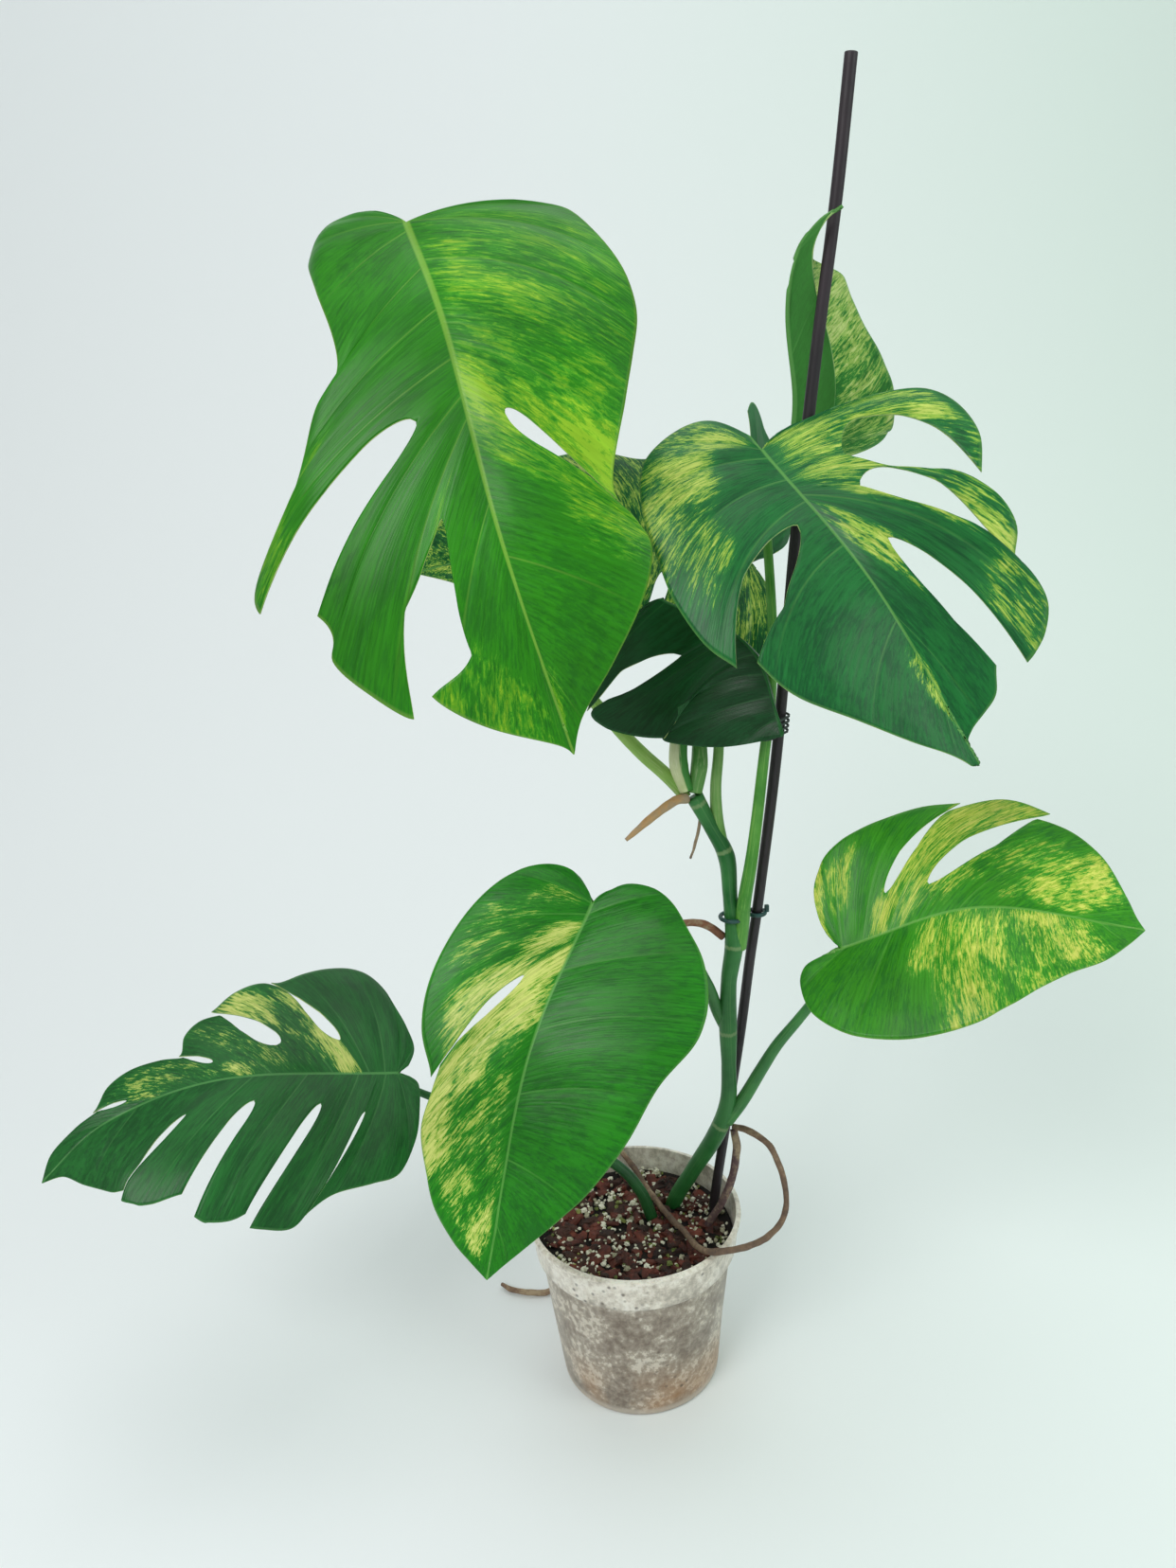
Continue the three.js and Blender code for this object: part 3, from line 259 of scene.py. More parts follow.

# Pale parts of the blades, and one strip of painted sheen on leaf a: first and last vein number, first and last
# share of the vein, and how pale
SPLASHES_AND_SHEEN = {
    "a": {
        "left": [
            # The first of these is a pale strip by the margin of the lobe before the first slit: painted sheen,
            # together with the paler underside of that lobe's curled edge
            (6.9, 8.6, 0.78, 0.95, 0.6), (12.7, 13.2, 0.5, 0.8, 0.6), (12.4, 15, 0.6, 1.1, 0.38),
            (12, 12.5, 0.2, 0.4, 0.5),
        ],
        "right": [
            (2, 7.6, 0.05, 1, 0.3), (4.6, 6.4, 0.05, 0.3, 0.5), (5.4, 6.6, 0.28, 0.55, 0.6),
            (7.7, 8.9, 0, 0.3, 0.95), (7.5, 8.5, 0.3, 1.1, 0.85), (8.5, 9.4, 0.05, 0.6, 0.5),
            (9, 10.2, 0.5, 1.1, 0.55), (13, 14, 0.1, 0.5, 0.45),
        ],
    },
    "b": {
        "left": [
            (1.5, 3.8, 0.2, 0.65, 0.62), (4, 5.8, 0.45, 0.85, 0.68), (1.5, 6.8, 0.7, 1.1, 0.45),
            (6, 8, 0.5, 0.9, 0.3), (13, 14.2, 0, 0.25, 0.55),
        ],
        "right": [
            (0, 11.5, 0.08, 0.45, 0.46), (3, 6, 0.4, 0.9, 0.56), (6, 7.6, 0.4, 1.1, 0.42),
            (7.5, 10, 0.4, 1.1, 0.4), (10, 11.6, 0.4, 1.1, 0.66), (11.5, 13.6, 0.2, 0.65, 0.65),
            (13.5, 16.5, 0.75, 1.1, 0.42), (17.1, 18.3, 0.08, 0.42, 0.74), (21, 22.5, 0, 0.3, 0.55),
        ],
    },
    "c": {
        "left": [
            (3.2, 4.6, 0.1, 0.6, 0.28), (4.4, 6.6, 0.35, 0.9, 0.24), (5.9, 7.4, 0.03, 0.35, 0.78),
            (7, 8.2, 0.28, 0.85, 0.78), (8, 9.8, 0, 0.42, 0.84), (8.2, 10.5, 0.38, 0.72, 0.72),
            (8.6, 11.2, 0.68, 1.1, 0.85), (10, 13.5, 0.1, 0.9, 0.3), (13.2, 14.1, 0.25, 0.85, 0.8),
        ],
    },
    "d": {
        "left": [
            (6.7, 8, 0.03, 0.45, 0.56), (7.8, 9, 0.45, 1.1, 0.56), (8.2, 10.2, 0.08, 0.6, 0.56),
            (10.4, 12.4, 0, 0.4, 0.6), (11.4, 13.2, 0.28, 0.85, 0.64), (8, 13.5, 0, 1.1, 0.32),
        ],
        "right": [
            (0.5, 3, 0.55, 1.1, 0.6), (3.2, 5, 0.35, 0.85, 0.45), (7.3, 9, 0, 0.3, 0.66),
            (8, 10.2, 0, 1.1, 0.58), (10, 11, 0.15, 0.65, 0.52), (12.3, 14.2, 0.15, 0.95, 0.56),
            (10.8, 12.4, 0.3, 0.9, 0.32),
        ],
    },
    "e": {
        "left": [
            (9.5, 10.3, 0, 0.85, 0.95), (10.9, 12.2, 0.58, 1, 0.72), (14.5, 15.1, 0.08, 0.32, 0.9),
            (17, 17.6, 0.2, 0.5, 0.6), (18.6, 19.2, 0.1, 0.45, 0.62), (10.3, 14.2, 0.1, 1, 0.22),
            (15.5, 19, 0.1, 0.9, 0.24),
        ],
    },
    "g": {
        "left": [(5.2, 13, 0.05, 1.1, 0.36)],
        "right": [(0, 12, 0.05, 1.1, 0.38)],
    },
    "h": {
        "left": [(5, 9, 0.45, 1.1, 0.72), (0, 6, 0.15, 1.1, 0.46)],
    },
}

# Tones of each leaf: shade, base, speck, splash, cream, veins and underside
LEAF_TONES = {
    "a": ("#1c6a0c", "#267c08", "#3f8f16", "#5a9a14", "#86b422", "#7bab3c", "#7fb651"),
    "b": ("#0d5026", "#16662c", "#2f7d30", "#86aa3c", "#b4c65c", "#5f9a4a", "#5f9a5c"),
    "c": ("#146212", "#1d780e", "#3d8c26", "#98b448", "#c6cf70", "#5fa046", "#6fa860"),
    "d": ("#23741a", "#348a14", "#4f9a2a", "#9ab83c", "#c8d05c", "#6aa848", "#7fb666"),
    "e": ("#124c1e", "#1a6024", "#33782e", "#94ac50", "#bcc46c", "#4f8c4a", "#5b925a"),
    "f": ("#083a16", "#0d4820", "#20602a", "#6a943a", "#98b050", "#2f7038", "#3f7a4a"),
    "g": ("#0f4c26", "#185e2c", "#3a8034", "#98b84a", "#c0ce68", "#5f9a4a", "#5f9a5c"),
    "h": ("#1c641c", "#267624", "#4a9036", "#92b450", "#bccc7c", "#6fa85c", "#4c8c40"),
}
VEIN_TONE = 5  # place of the veins' tone in the list
MIDRIB_WIDTHS = {"a": 2.4}  # drawn width at the petiole, where it isn't 1.3

# Routes of the stem, the petioles and the roots: x, y, z and radius at each point
STEM = [
    (24, 22, 74, 5.2), (29, 21, 112, 5.6), (43, 17, 142, 5.4), (60, 9, 178, 6.2), (68, 5, 206, 5.6),
    (69, 4, 236, 5), (69, 4, 265, 6), (70, 4, 297, 5.2), (74, 4, 326, 6.2), (72, 4, 358, 4.7),
    (70, 4, 386, 5.6), (60, 5, 408, 4.6), (51, 5, 427, 5.6),
]
STAKE_ROUTE = [
    (47, 9, 30), (57, 14, 112), (67.5, 18.5, 176), (78.5, 17.5, 248), (85.5, 13, 309), (91.5, 7, 360),
    (102, 0, 457), (112, -6.5, 584), (122, -10.5, 680), (131, -17, 758), (137.5, -20, 826),
]
JOINT_HEIGHTS = (188, 262, 325, 392, 424)  # of the pale rings on the stem
BAND_WIDTH = 1.8  # of a pale ring
PETIOLES = {
    "a": [
        (46, 6, 426, 3.6), (34, 12, 440, 4.4), (20, 22, 452, 4.4), (4, 32, 469, 4.2), (-18, 42, 498, 3.8),
        (-44, 49, 555, 3.3), (-73, 51, 637, 2.9), (-91, 46, 715, 2.7), (-97, 36, 750, 2.7),
    ],
    "b": [
        (77, 5, 322, 5.2), (79, 1, 340, 4.8), (80, -4, 358, 4.4), (84, -7, 385, 4), (88, -9, 417, 3.6),
        (92, -11, 455, 3.3), (96, -13, 490, 3.1), (97, -15, 530, 2.9), (95, -15, 575, 2.7),
        (93, -12, 610, 2.6),
    ],
    "c": [
        (68, 8, 262, 4.6), (62, 4, 277, 4.2), (55, -2, 300, 3.7), (40, -13, 332, 3.2), (12, -25, 360, 2.8),
        (-4, -33, 367, 2.6),
    ],
    "d": [
        (67, 6, 190, 5), (78, 4, 207, 4.6), (90, 2, 230, 4.2), (101, -1, 251, 3.8), (114, -5, 271, 3.4),
        (126, -11, 292, 3.1), (133, -16, 308, 2.8),
    ],
    "e": [
        (20, 5, 84, 4.4), (13, 6, 112, 4.3), (5, 8, 136, 4.1), (-11, 11, 156, 3.8), (-43, 16, 175, 3.5),
        (-82, 20, 189, 3.2), (-121, 23, 204, 2.9), (-142, 24, 213, 2.7),
    ],
    "f": [
        (68, 4, 390, 4.4), (65, 7, 410, 4), (65, 12, 430, 3.6), (68, 18, 452, 3.3), (70, 26, 484, 3),
        (62, 34, 512, 2.7), (50, 34, 530, 1.6),
    ],
    "g": [
        (51, 6, 429, 4.6), (55, 12, 445, 5.4), (57, 24, 460, 4.6), (62, 46, 482, 3.6), (78, 74, 512, 3),
        (92, 93, 541, 2.7),
    ],
    "h": [
        (46, 4, 431, 4.4), (42, 9, 446, 6), (43, 17, 460, 5.6), (48, 32, 482, 4), (60, 54, 518, 3.2),
        (84, 62, 560, 2.8), (104, 54, 597, 2.6), (112, 46, 616, 2.4),
    ],
}
ROOTS = {
    "long": [
        (72, 8, 183, 2.4), (80, 1, 185, 2.2), (88, -7, 184, 2.2), (95, -12, 178, 2.1), (101, -18, 162, 2.1),
        (103, -23, 145, 2), (99, -28, 132, 2), (87, -40, 129, 2.2), (73, -50, 131, 2.2),
        (58, -57, 134, 2.2), (47, -52, 130, 2.1), (40, -36, 122, 2.1), (33, -16, 119, 2.1),
        (27, -6, 119, 2.1), (19, 10, 120, 2.1), (11, 28, 122, 2), (2, 46, 128, 2), (-10, 62, 135, 2),
        (-24, 73, 136, 2), (-36, 78, 122, 2), (-42, 76, 90, 2), (-48, 74, 50, 2), (-56, 71, 14, 2),
        (-68, 66, 3, 2.2), (-82, 66, 2.6, 2.3), (-97, 70, 2.6, 2.1), (-106, 77, 2.6, 1.6),
    ],
    "stake": [
        (72, 7, 182, 2.6), (73, 1, 170, 2.7), (69, -4, 152, 2.7), (62, -6, 134, 2.7), (52, -5, 116, 2.4),
        (44, -4, 98, 1.8),
    ],
    "joint": [
        (67, 7, 329, 2.6), (58, 4, 338, 2.6), (50, 2, 342, 2.5), (38, -1, 343, 2.3), (22, -5, 338, 1.6),
    ],
    "stub": [
        (46, 3, 427, 3.2), (38, -1, 427, 3.1), (26, -6, 421, 2.7), (14, -10, 413, 2.1), (6, -12, 407, 1.2),
    ],
    "thread": [(51, 5, 421, 1.2), (54, 8, 413, 1.1), (53, 7, 404, 1), (50, 5, 394, 0.9), (47, 4, 386, 0.7)],
}


# Curves


def smooth_curve(points, per_span=60, reflect=True):
    """Points of a smooth curve through the given ones, in equal shares of each span."""
    knots = np.array(points, float)
    before = 2 * knots[0] - knots[1] if reflect else knots[0]
    after = 2 * knots[-1] - knots[-2] if reflect else knots[-1]
    knots = np.vstack([before, knots, after])
    share = np.linspace(0, 1, per_span, endpoint=False)[:, None]
    spans = []
    for a, b, c, d in zip(knots, knots[1:], knots[2:], knots[3:]):
        leaving, arriving = (c - a) / 2, (d - b) / 2
        spans.append(
            (2 * share**3 - 3 * share**2 + 1) * b
            + (share**3 - 2 * share**2 + share) * leaving
            + (3 * share**2 - 2 * share**3) * c
            + (share**3 - share**2) * arriving
        )
    return np.vstack([*spans, knots[-2:-1]])


def unit(vectors):
    return vectors / np.maximum(np.linalg.norm(vectors, axis=-1, keepdims=True), 1e-9)


def smooth_step(x, low, high):
    t = np.clip((x - low) / (high - low), 0, 1)
    return t * t * (3 - 2 * t)


class Path:
    """A smooth curve through points, read by the distance along it. A fourth number is a radius."""

    def __init__(self, points):
        self.places = smooth_curve([p[:3] for p in points])
        self.radii = [p[3] for p in points if len(p) > 3]
        self.knots = len(points)
        steps = np.linalg.norm(np.diff(self.places, axis=0), axis=1)
        self.reach = np.concatenate([[0], np.cumsum(steps)])
        self.length = self.reach[-1]
        self.directions = unit(np.gradient(self.places, self.reach, axis=0))

    def read(self, table, distance):
        return np.stack([np.interp(distance, self.reach, table[:, k]) for k in range(3)], axis=-1)

    def at(self, distance):
        return self.read(self.places, distance)

    def direction(self, distance):
        return unit(self.read(self.directions, distance))

    def radius(self, distance):
        knot = np.interp(distance, self.reach, np.linspace(0, self.knots - 1, len(self.reach)))
        return np.interp(knot, np.arange(self.knots), self.radii)

    def at_height(self, z):
        """The point of a rising route at a height."""
        return np.array([np.interp(z, self.places[:, 2], self.places[:, k]) for k in range(3)])


# Blades of the leaves


class HalfBlade:
    """Half of a blade drawn flat. Vein number i reaches the margin's point i; r is a share of its length."""

    def __init__(self, half, length):
        slits = self.slits = half["slits"]
        self.last = len(half["margin"]) - 1
        self.outline = smooth_curve(half["margin"], reflect=False)
        self.outline_numbers = np.linspace(0, self.last, len(self.outline))
        self.first = min(slits[0]["at"] - 1.2, 4) if slits else 3
        origins = [(0, 0), (self.first, 0), *[(s["at"], s["vein"]) for s in slits]]
        origins.append((self.last, TIP_START * length))
        self.origin_numbers, self.origin_places = np.array(origins, float).T
        bows = [(self.first, VEIN_BOW), *[(s["at"], half["bow"]) for s in slits], (self.last, VEIN_BOW)]
        self.bow_numbers, self.bows = np.array(bows, float).T
        starts = [(0, 0.35), *[(s["at"], s["from"]) for s in slits], (self.last, 0.35)]
        self.start_numbers, self.starts = np.array(starts, float).T
        self.edges = [0, *[s["at"] for s in slits], self.last]
        steps = np.linalg.norm(np.diff(self.outline, axis=0), axis=1)
        self.outline_reach = np.concatenate([[0], np.cumsum(steps)])

    def margin_length(self, low, high):
        low_reach, high_reach = np.interp([low, high], self.outline_numbers, self.outline_reach)
        return high_reach - low_reach

    def start(self, i):
        return np.interp(i, self.start_numbers, self.starts)

    def number_at(self, x):
        return np.interp(x, self.origin_places[1:], self.origin_numbers[1:])

    def vein(self, i, r):
        """The point of a side vein at a share of its length, the vein being bent forward a little."""
        i = np.clip(i, 0, self.last)
        start = np.interp(i, self.origin_numbers, self.origin_places)
        edge_x = np.interp(i, self.outline_numbers, self.outline[:, 0])
        edge_y = np.interp(i, self.outline_numbers, self.outline[:, 1])
        bow = np.interp(i, self.bow_numbers, self.bows) * edge_y
        chord_x, chord_y = edge_x - start, edge_y
        reach = np.maximum(np.hypot(chord_x, chord_y), 1e-6)
        control_x = start + chord_x / 2 - bow * chord_y / reach
        control_y = chord_y / 2 + bow * chord_x / reach
        a, b = (1 - r) ** 2, 2 * r * (1 - r)
        return a * start + b * control_x + r * r * edge_x, b * control_y + r * r * edge_y

    def spacing(self, i, r, step=0.05):
        """Millimetres between two neighbouring vein numbers."""
        x1, y1 = self.vein(i + step, r)
        x0, y0 = self.vein(i - step, r)
        return np.maximum(np.hypot(x1 - x0, y1 - y0) / (2 * step), 1e-3)

    def opening(self, slit, r):
        """Half the width of a slit, in vein numbers."""
        if slit is None:
            return np.zeros_like(r)
        u = np.maximum((r - slit["from"]) / (1 - slit["from"]), 0)
        rounding = np.sqrt(1 - (1 - np.minimum(1, u / 0.25)) ** 2)
        width = rounding * np.interp(u, [0, 0.5 * slit["closes"], slit["closes"]], slit["half"])
        return np.where(u > 0, width / self.spacing(slit["at"], r), 0)

    def point(self, lobe, i, r):
        """A point of a lobe, moved aside by the slits next to it, and the vein number that it lies on."""
        before, after = [None, *self.slits, None][lobe : lobe + 2]
        low, high = self.edges[lobe], self.edges[lobe + 1]
        t = (i - low) / (high - low)
        shifted = i + self.opening(before, r) * (1 - t) - self.opening(after, r) * t
        beyond = np.maximum(0, (r - before["from"]) / (1 - before["from"])) if before else 0 * r
        x, y = self.vein(shifted, r * (1 - CORNER * (1 - t) ** 4 * beyond**2))
        return x, np.maximum(y, 0), shifted

    def droop(self, lobe, i):
        if lobe == len(self.slits):
            return 0 * i
        near, far = self.slits[lobe]["droop"]
        low, high = self.edges[lobe], self.edges[lobe + 1]
        return near + (far - near) * (i - low) / (high - low)

    def veins_before(self, lobe):
        """How many side veins the lobes up to this one carry, and how many this one does."""
        counts = [
            max(1, round(self.margin_length(low, high) / VEIN_SPACING))
            for low, high in zip(self.edges, self.edges[1:])
        ]
        return sum(counts[:lobe]), counts[lobe]


def on_leaf(leaf, midrib, x, y, side, droop):
    """Carries points of the flat drawing onto the leaf's curved surface."""
    inside = np.clip(x, 0, midrib.length)
    place = midrib.at(inside)
    along = midrib.direction(inside)
    face_base, face_tip = np.array([leaf["face"][0], leaf["face"][-1]], float)
    face = face_base + (face_tip - face_base) * (inside / midrib.length)[:, None]
    up = unit(face - (face * along).sum(-1, keepdims=True) * along)
    out = np.cross(along, up) * (1 if side == "left" else -1)
    behind = np.maximum(-x, 0)
    degrees, over = leaf.get("notch", NOTCH)
    turn_full = math.radians(degrees)
    parts = 12
    for k in range(parts):
        turn = turn_full * np.minimum(1, behind * (k + 0.5) / parts / over)
        step = (behind / parts)[:, None]
        place = place - along * np.cos(turn)[:, None] * step - up * np.sin(turn)[:, None] * step
    turn = (turn_full * np.minimum(1, behind / over))[:, None]
    lift = up * np.cos(turn) - along * np.sin(turn)
    half = leaf[side]
    crease_at, crease_slope, crease_over = half["crease"]
    bend = crease_at + crease_slope * x
    for k in range(parts):
        reach = y * (k + 0.5) / parts
        hang = smooth_step(reach, bend, bend + crease_over)
        angle = np.radians(half["fold"] - half["curl"] * reach / 100 - droop * hang)
        step = (y / parts)[:, None]
        place = place + out * np.cos(angle)[:, None] * step + lift * np.sin(angle)[:, None] * step
    return place


def stations(halves, length):
    """Places along the midrib where a row of faces starts: at every slit's vein, and close enough between."""
    stops = sorted({0, TIP_START * length} | {s["vein"] for half in halves.values() for s in half.slits})
    places = []
    for low, high in zip(stops, stops[1:]):
        margins = [half.margin_length(half.number_at(low), half.number_at(high)) for half in halves.values()]
        parts = max(1, math.ceil(max([high - low, *margins]) / MESH_STEP))
        places += [low + (high - low) * k / parts for k in range(parts)]
    return np.array([*places, TIP_START * length])


def columns_of(half, places):
    """The vein numbers of one half's columns of faces: a fan behind the joint, the stations, and the tip."""
    fan = max(6, math.ceil(half.margin_length(0, half.first) / MESH_STEP))
    fan_numbers = half.first * np.arange(fan) / fan
    tip_numbers = np.linspace(half.last - 0.06, half.last, 3)
    return np.unique(np.round([*fan_numbers, *half.number_at(places), *tip_numbers], 6))


def leaf_net(leaf, splashes_and_sheen):
    """The blade as one sheet: a grid for each lobe, laid on the leaf, with its veins kept as UV maps."""
    midrib = Path(leaf["midrib"])
    halves = {side: HalfBlade(leaf[side], midrib.length) for side in ("left", "right")}
    places = stations(halves, midrib.length)
    bm = bmesh.new()
    vein_uv, place_uv, mark_uv = [bm.loops.layers.uv.new(name) for name in UV_MAPS]
    rib, puff = [bm.verts.layers.float.new(n) for n in ("rib", "puff")]
    inner_rows = 12
    outer_rows = max(18, round(max(h.outline[:, 1].max() for h in halves.values()) / MESH_STEP * 0.8))
    rows = inner_rows + outer_rows

    for side, half in halves.items():
        numbers = columns_of(half, places)
        for lobe, (low, high) in enumerate(zip(half.edges, half.edges[1:])):
            columns = numbers[(numbers >= low - 1e-5) & (numbers <= high + 1e-5)]
            spans = len(columns) - 1
            grid = bmesh.ops.create_grid(bm, x_segments=spans, y_segments=rows, size=0.5)["verts"]
            i = columns[np.array([round((v.co.x + 0.5) * spans) for v in grid])]
            row = np.array([round((v.co.y + 0.5) * rows) for v in grid])
            start = half.start(i)
            inner = start * (np.minimum(row, inner_rows) / inner_rows) ** 1.4
            outer = (1 - start) * (np.maximum(row - inner_rows, 0) / outer_rows) ** 1.15
            r = inner + outer
            x, y, number = half.point(lobe, i, r)
            place = on_leaf(leaf, midrib, x, y, side, half.droop(lobe, i))
            passed, count = half.veins_before(lobe)
            phase = passed + count * np.clip((number - low) / (high - low), 0, 1)
            gap = half.spacing(i, r) * (high - low) / count
            cream_and_sheen = splash_and_sheen_at(splashes_and_sheen, side, number, r)
            tip = 1 - np.clip(x / midrib.length, 0, 1)
            for k, vert in enumerate(grid):
                vert.index = k
                vert.co = place[k] * MM
                vert[rib] = RIB * (0.3 + 0.7 * tip[k]) * math.exp(-((y[k] / 2.2) ** 2))
                vert[puff] = quilt(phase[k], gap[k], r[k])
            shift, sense = (0, 1) if side == "left" else (40, -1)
            faces = list({f for v in grid for f in v.link_faces})
            for loop in [loop for face in faces for loop in face.loops]:
                k = loop.vert.index
                loop[vein_uv].uv = (phase[k] + shift, r[k])
                loop[place_uv].uv = (x[k], sense * y[k])
                loop[mark_uv].uv = (gap[k], cream_and_sheen[k])
            if side == "left":
                bmesh.ops.reverse_faces(bm, faces=faces)
    bmesh.ops.remove_doubles(bm, verts=bm.verts, dist=0.002 * MM)
    bmesh.ops.dissolve_degenerate(bm, edges=bm.edges, dist=0.0005 * MM)
    return bm, rib, puff


def quilt(phase, gap, r):
    """Height of the blade's relief in mm: a soft swelling between veins and a fine crease on each."""
    off = abs(phase % 1 - 0.5)
    room = min(1, gap / 24)
    fade = min(1, r / 0.12) * min(1, (1 - r) / 0.2)
    swelling = QUILT * math.sin(math.pi * off) ** 2
    crease = GROOVE * math.exp(-((off * gap / 1.8) ** 2))
    return room * fade * (swelling - crease)


def splash_and_sheen_at(splashes_and_sheen, side, number, r):
    """How pale the blade is, from 0 to 1, by the splashes and any strip of painted sheen drawn on this half."""
    cream_and_sheen = np.zeros_like(r)
    for low, high, near, far, strength in splashes_and_sheen.get(side, []):
        across = smooth_step(number, low - 0.6, low + 0.4) * (1 - smooth_step(number, high - 0.4, high + 0.6))
        out = smooth_step(r, near - 0.14, near + 0.1) * (1 - smooth_step(r, far - 0.1, far + 0.14))
        cream_and_sheen = np.maximum(cream_and_sheen, strength * across * out)
    return cream_and_sheen


def leaf_piece(name, leaf):
    """The finished blade: the sheet puffed between its veins, given two skins, and a rib below the midrib."""
    bm, rib, puff = leaf_net(leaf, SPLASHES_AND_SHEEN.get(name, {}))
    bm.normal_update()
    for vert in bm.verts:
        vert.co += vert.normal * vert[puff] * MM
    bm.normal_update()
    facing = bm.verts.layers.float_vector.new("facing")
    for vert in bm.verts:
        vert[facing] = vert.normal
    sheet = bm.faces[:]
    raised = bmesh.ops.extrude_face_region(bm, geom=sheet, use_keep_orig=True)["geom"]
    top = set(raised)
    under = set(sheet)
    for vert in bm.verts:
        lift = BLADE / 2 if vert in top else -BLADE / 2 - vert[rib]
        vert.co += Vector(vert[facing]) * lift * MM
    for face in bm.faces:
        face.material_index = 0 if face in top else 1 if face in under else 2
    bm.verts.layers.float_vector.remove(facing)
    for layer in ("rib", "puff"):
        bm.verts.layers.float.remove(bm.verts.layers.float[layer])
    return finish_piece("monstera_leaf_" + name, bm)


# Making objects


def finish_piece(name, bm, smooth=True):
    """A mesh object at the origin from a bmesh in the frame's own metres."""
    mesh = bpy.data.meshes.new(name)
    if smooth:
        for face in bm.faces:
            face.smooth = True
    bm.to_mesh(mesh)
    bm.free()
    return show(name, mesh)


def show(name, data):
    """A new object with its mesh, lamp or camera, in the scene."""
    item = bpy.data.objects.new(name, data)
    bpy.context.scene.collection.objects.link(item)
    return item


def dress(piece, materials, node):
    """Gives a piece its materials and its place in the frame."""
    for material in materials:
        piece.data.materials.append(material)
    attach(piece, "root")
    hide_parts(node)


def closed(bm):
    """Turns every face of a closed form outwards."""
    bmesh.ops.recalc_face_normals(bm, faces=bm.faces)


def spin(bm, geom, centre, steps):
    """Sweeps an outline all the way round an upright axis."""
    bmesh.ops.spin(bm, geom=geom, cent=centre, axis=(0, 0, 1), angle=TURN, steps=steps, use_merge=True)


def turned(outline, steps):
    """A form turned round the upright axis from its outline of radius and height."""
    bm = bmesh.new()
    verts = [bm.verts.new((radius * MM, 0, z * MM)) for radius, z in outline]
    edges = [bm.edges.new(pair) for pair in zip(verts, verts[1:])]
    spin(bm, verts + edges, (0, 0, 0), steps)
    bmesh.ops.remove_doubles(bm, verts=bm.verts, dist=0.01 * MM)
    return bm


def soften(bm, edges, offset, segments):
    """Rounds edges off."""
    bmesh.ops.bevel(
        bm, geom=edges, offset=offset * MM, offset_type="OFFSET", segments=segments, profile=0.5,
        affect="EDGES", material=-1,
    )


def limb(bm, path, radius_at, sides, step):
    """A round limb along a path: a disc drawn out ring by ring, closed at both ends, with its distances."""
    count = max(4, math.ceil(path.length / step))
    distances = np.linspace(0, path.length, count + 1)
    centres = path.at(distances)
    directions = path.direction(distances)
    across = unit(np.cross(directions[0], [0.31, 0.95, 0.11]))
    along_layer = bm.verts.layers.float.get("along") or bm.verts.layers.float.new("along")
    turn_layer = bm.verts.layers.float_vector.get("turn") or bm.verts.layers.float_vector.new("turn")
    made = bmesh.ops.create_circle(bm, cap_ends=True, segments=sides, radius=MM)["verts"]
    face = made[0].link_faces[0]
    inner = []
    for k in range(count + 1):
        across = unit(across - (across @ directions[k]) * directions[k])
        beside = np.cross(directions[k], across)
        if k:
            geom = bmesh.ops.extrude_face_region(bm, geom=[face], use_keep_orig=True)["geom"]
            if k > 1:
                inner.append(face)
            face = next(g for g in geom if isinstance(g, bmesh.types.BMFace))
        for n, vert in enumerate(face.verts):
            angle = TURN * n / sides
            around = math.cos(angle) * across + math.sin(angle) * beside
            vert.co = (centres[k] + radius_at(distances[k], around) * around) * MM
            vert[along_layer] = distances[k]
            vert[turn_layer] = around
    bmesh.ops.delete(bm, geom=inner, context="FACES_ONLY")


def limb_piece(name, path, radius_at, sides, step, skin, node):
    """A whole piece that is one limb."""
    bm = bmesh.new()
    limb(bm, path, radius_at, sides, step)
    closed(bm)
    dress(finish_piece(name, bm), [skin], node)


def even(radius):
    return lambda distance, around: radius


def bumpy(path, size, depth, seed):
    """The path's radius with natural unevenness: size is the length of a bump in mm, depth its height."""

    def radius(distance, around):
        place = Vector(path.at(distance) / size) + Vector(around) * 0.8 + Vector((seed, 0, 0))
        return path.radius(distance) + depth * noise.noise(place)

    return radius


def petiole_route(name):
    """The petiole's points, then straight up to the underside of its midrib."""
    leaf = LEAVES[name]
    along = Path(leaf["midrib"]).direction(0.0)
    face = np.array(leaf["face"][0], float)
    up = unit(face - (face @ along) * along)
    under = unit(np.array(leaf["under"], float)) if "under" in leaf else -up
    seat = BLADE / 2 + RIB + GAP + leaf.get("seat_drop", 0)
    base = np.array(leaf["midrib"][0], float)
    tip = PETIOLES[name][-1][3]
    return [*PETIOLES[name], *[(*(base + under * reach), tip) for reach in (seat + APPROACH, seat)]]


# Materials


def hex_colour(code):
    """An sRGB hex value as linear red, green and blue."""
    channels = [int(code[k : k + 2], 16) / 255 for k in (1, 3, 5)]
    return (*[c / 12.92 if c <= 0.04045 else ((c + 0.055) / 1.055) ** 2.4 for c in channels], 1)


def plug(tree, socket, value):
    """Types a value into a socket, or links a node or another socket to it. A colour may be a hex value."""
    if isinstance(value, bpy.types.Node):
        value = value.outputs[0]
    if isinstance(value, bpy.types.NodeSocket):
        tree.links.new(value, socket)
    else:
        socket.default_value = hex_colour(value) if isinstance(value, str) else value


def add(tree, kind, settings=None, **inputs):
    """Adds a node, sets it up, and fills its inputs. An input is named, or numbered as in_0."""
    node = tree.nodes.new(kind)
    for key, value in (settings or {}).items():
        setattr(node, key, value)
    for key, value in inputs.items():
        place = int(key[3:]) if key.startswith("in_") else key.replace("_", " ")
        plug(tree, node.inputs[place], value)
    return node


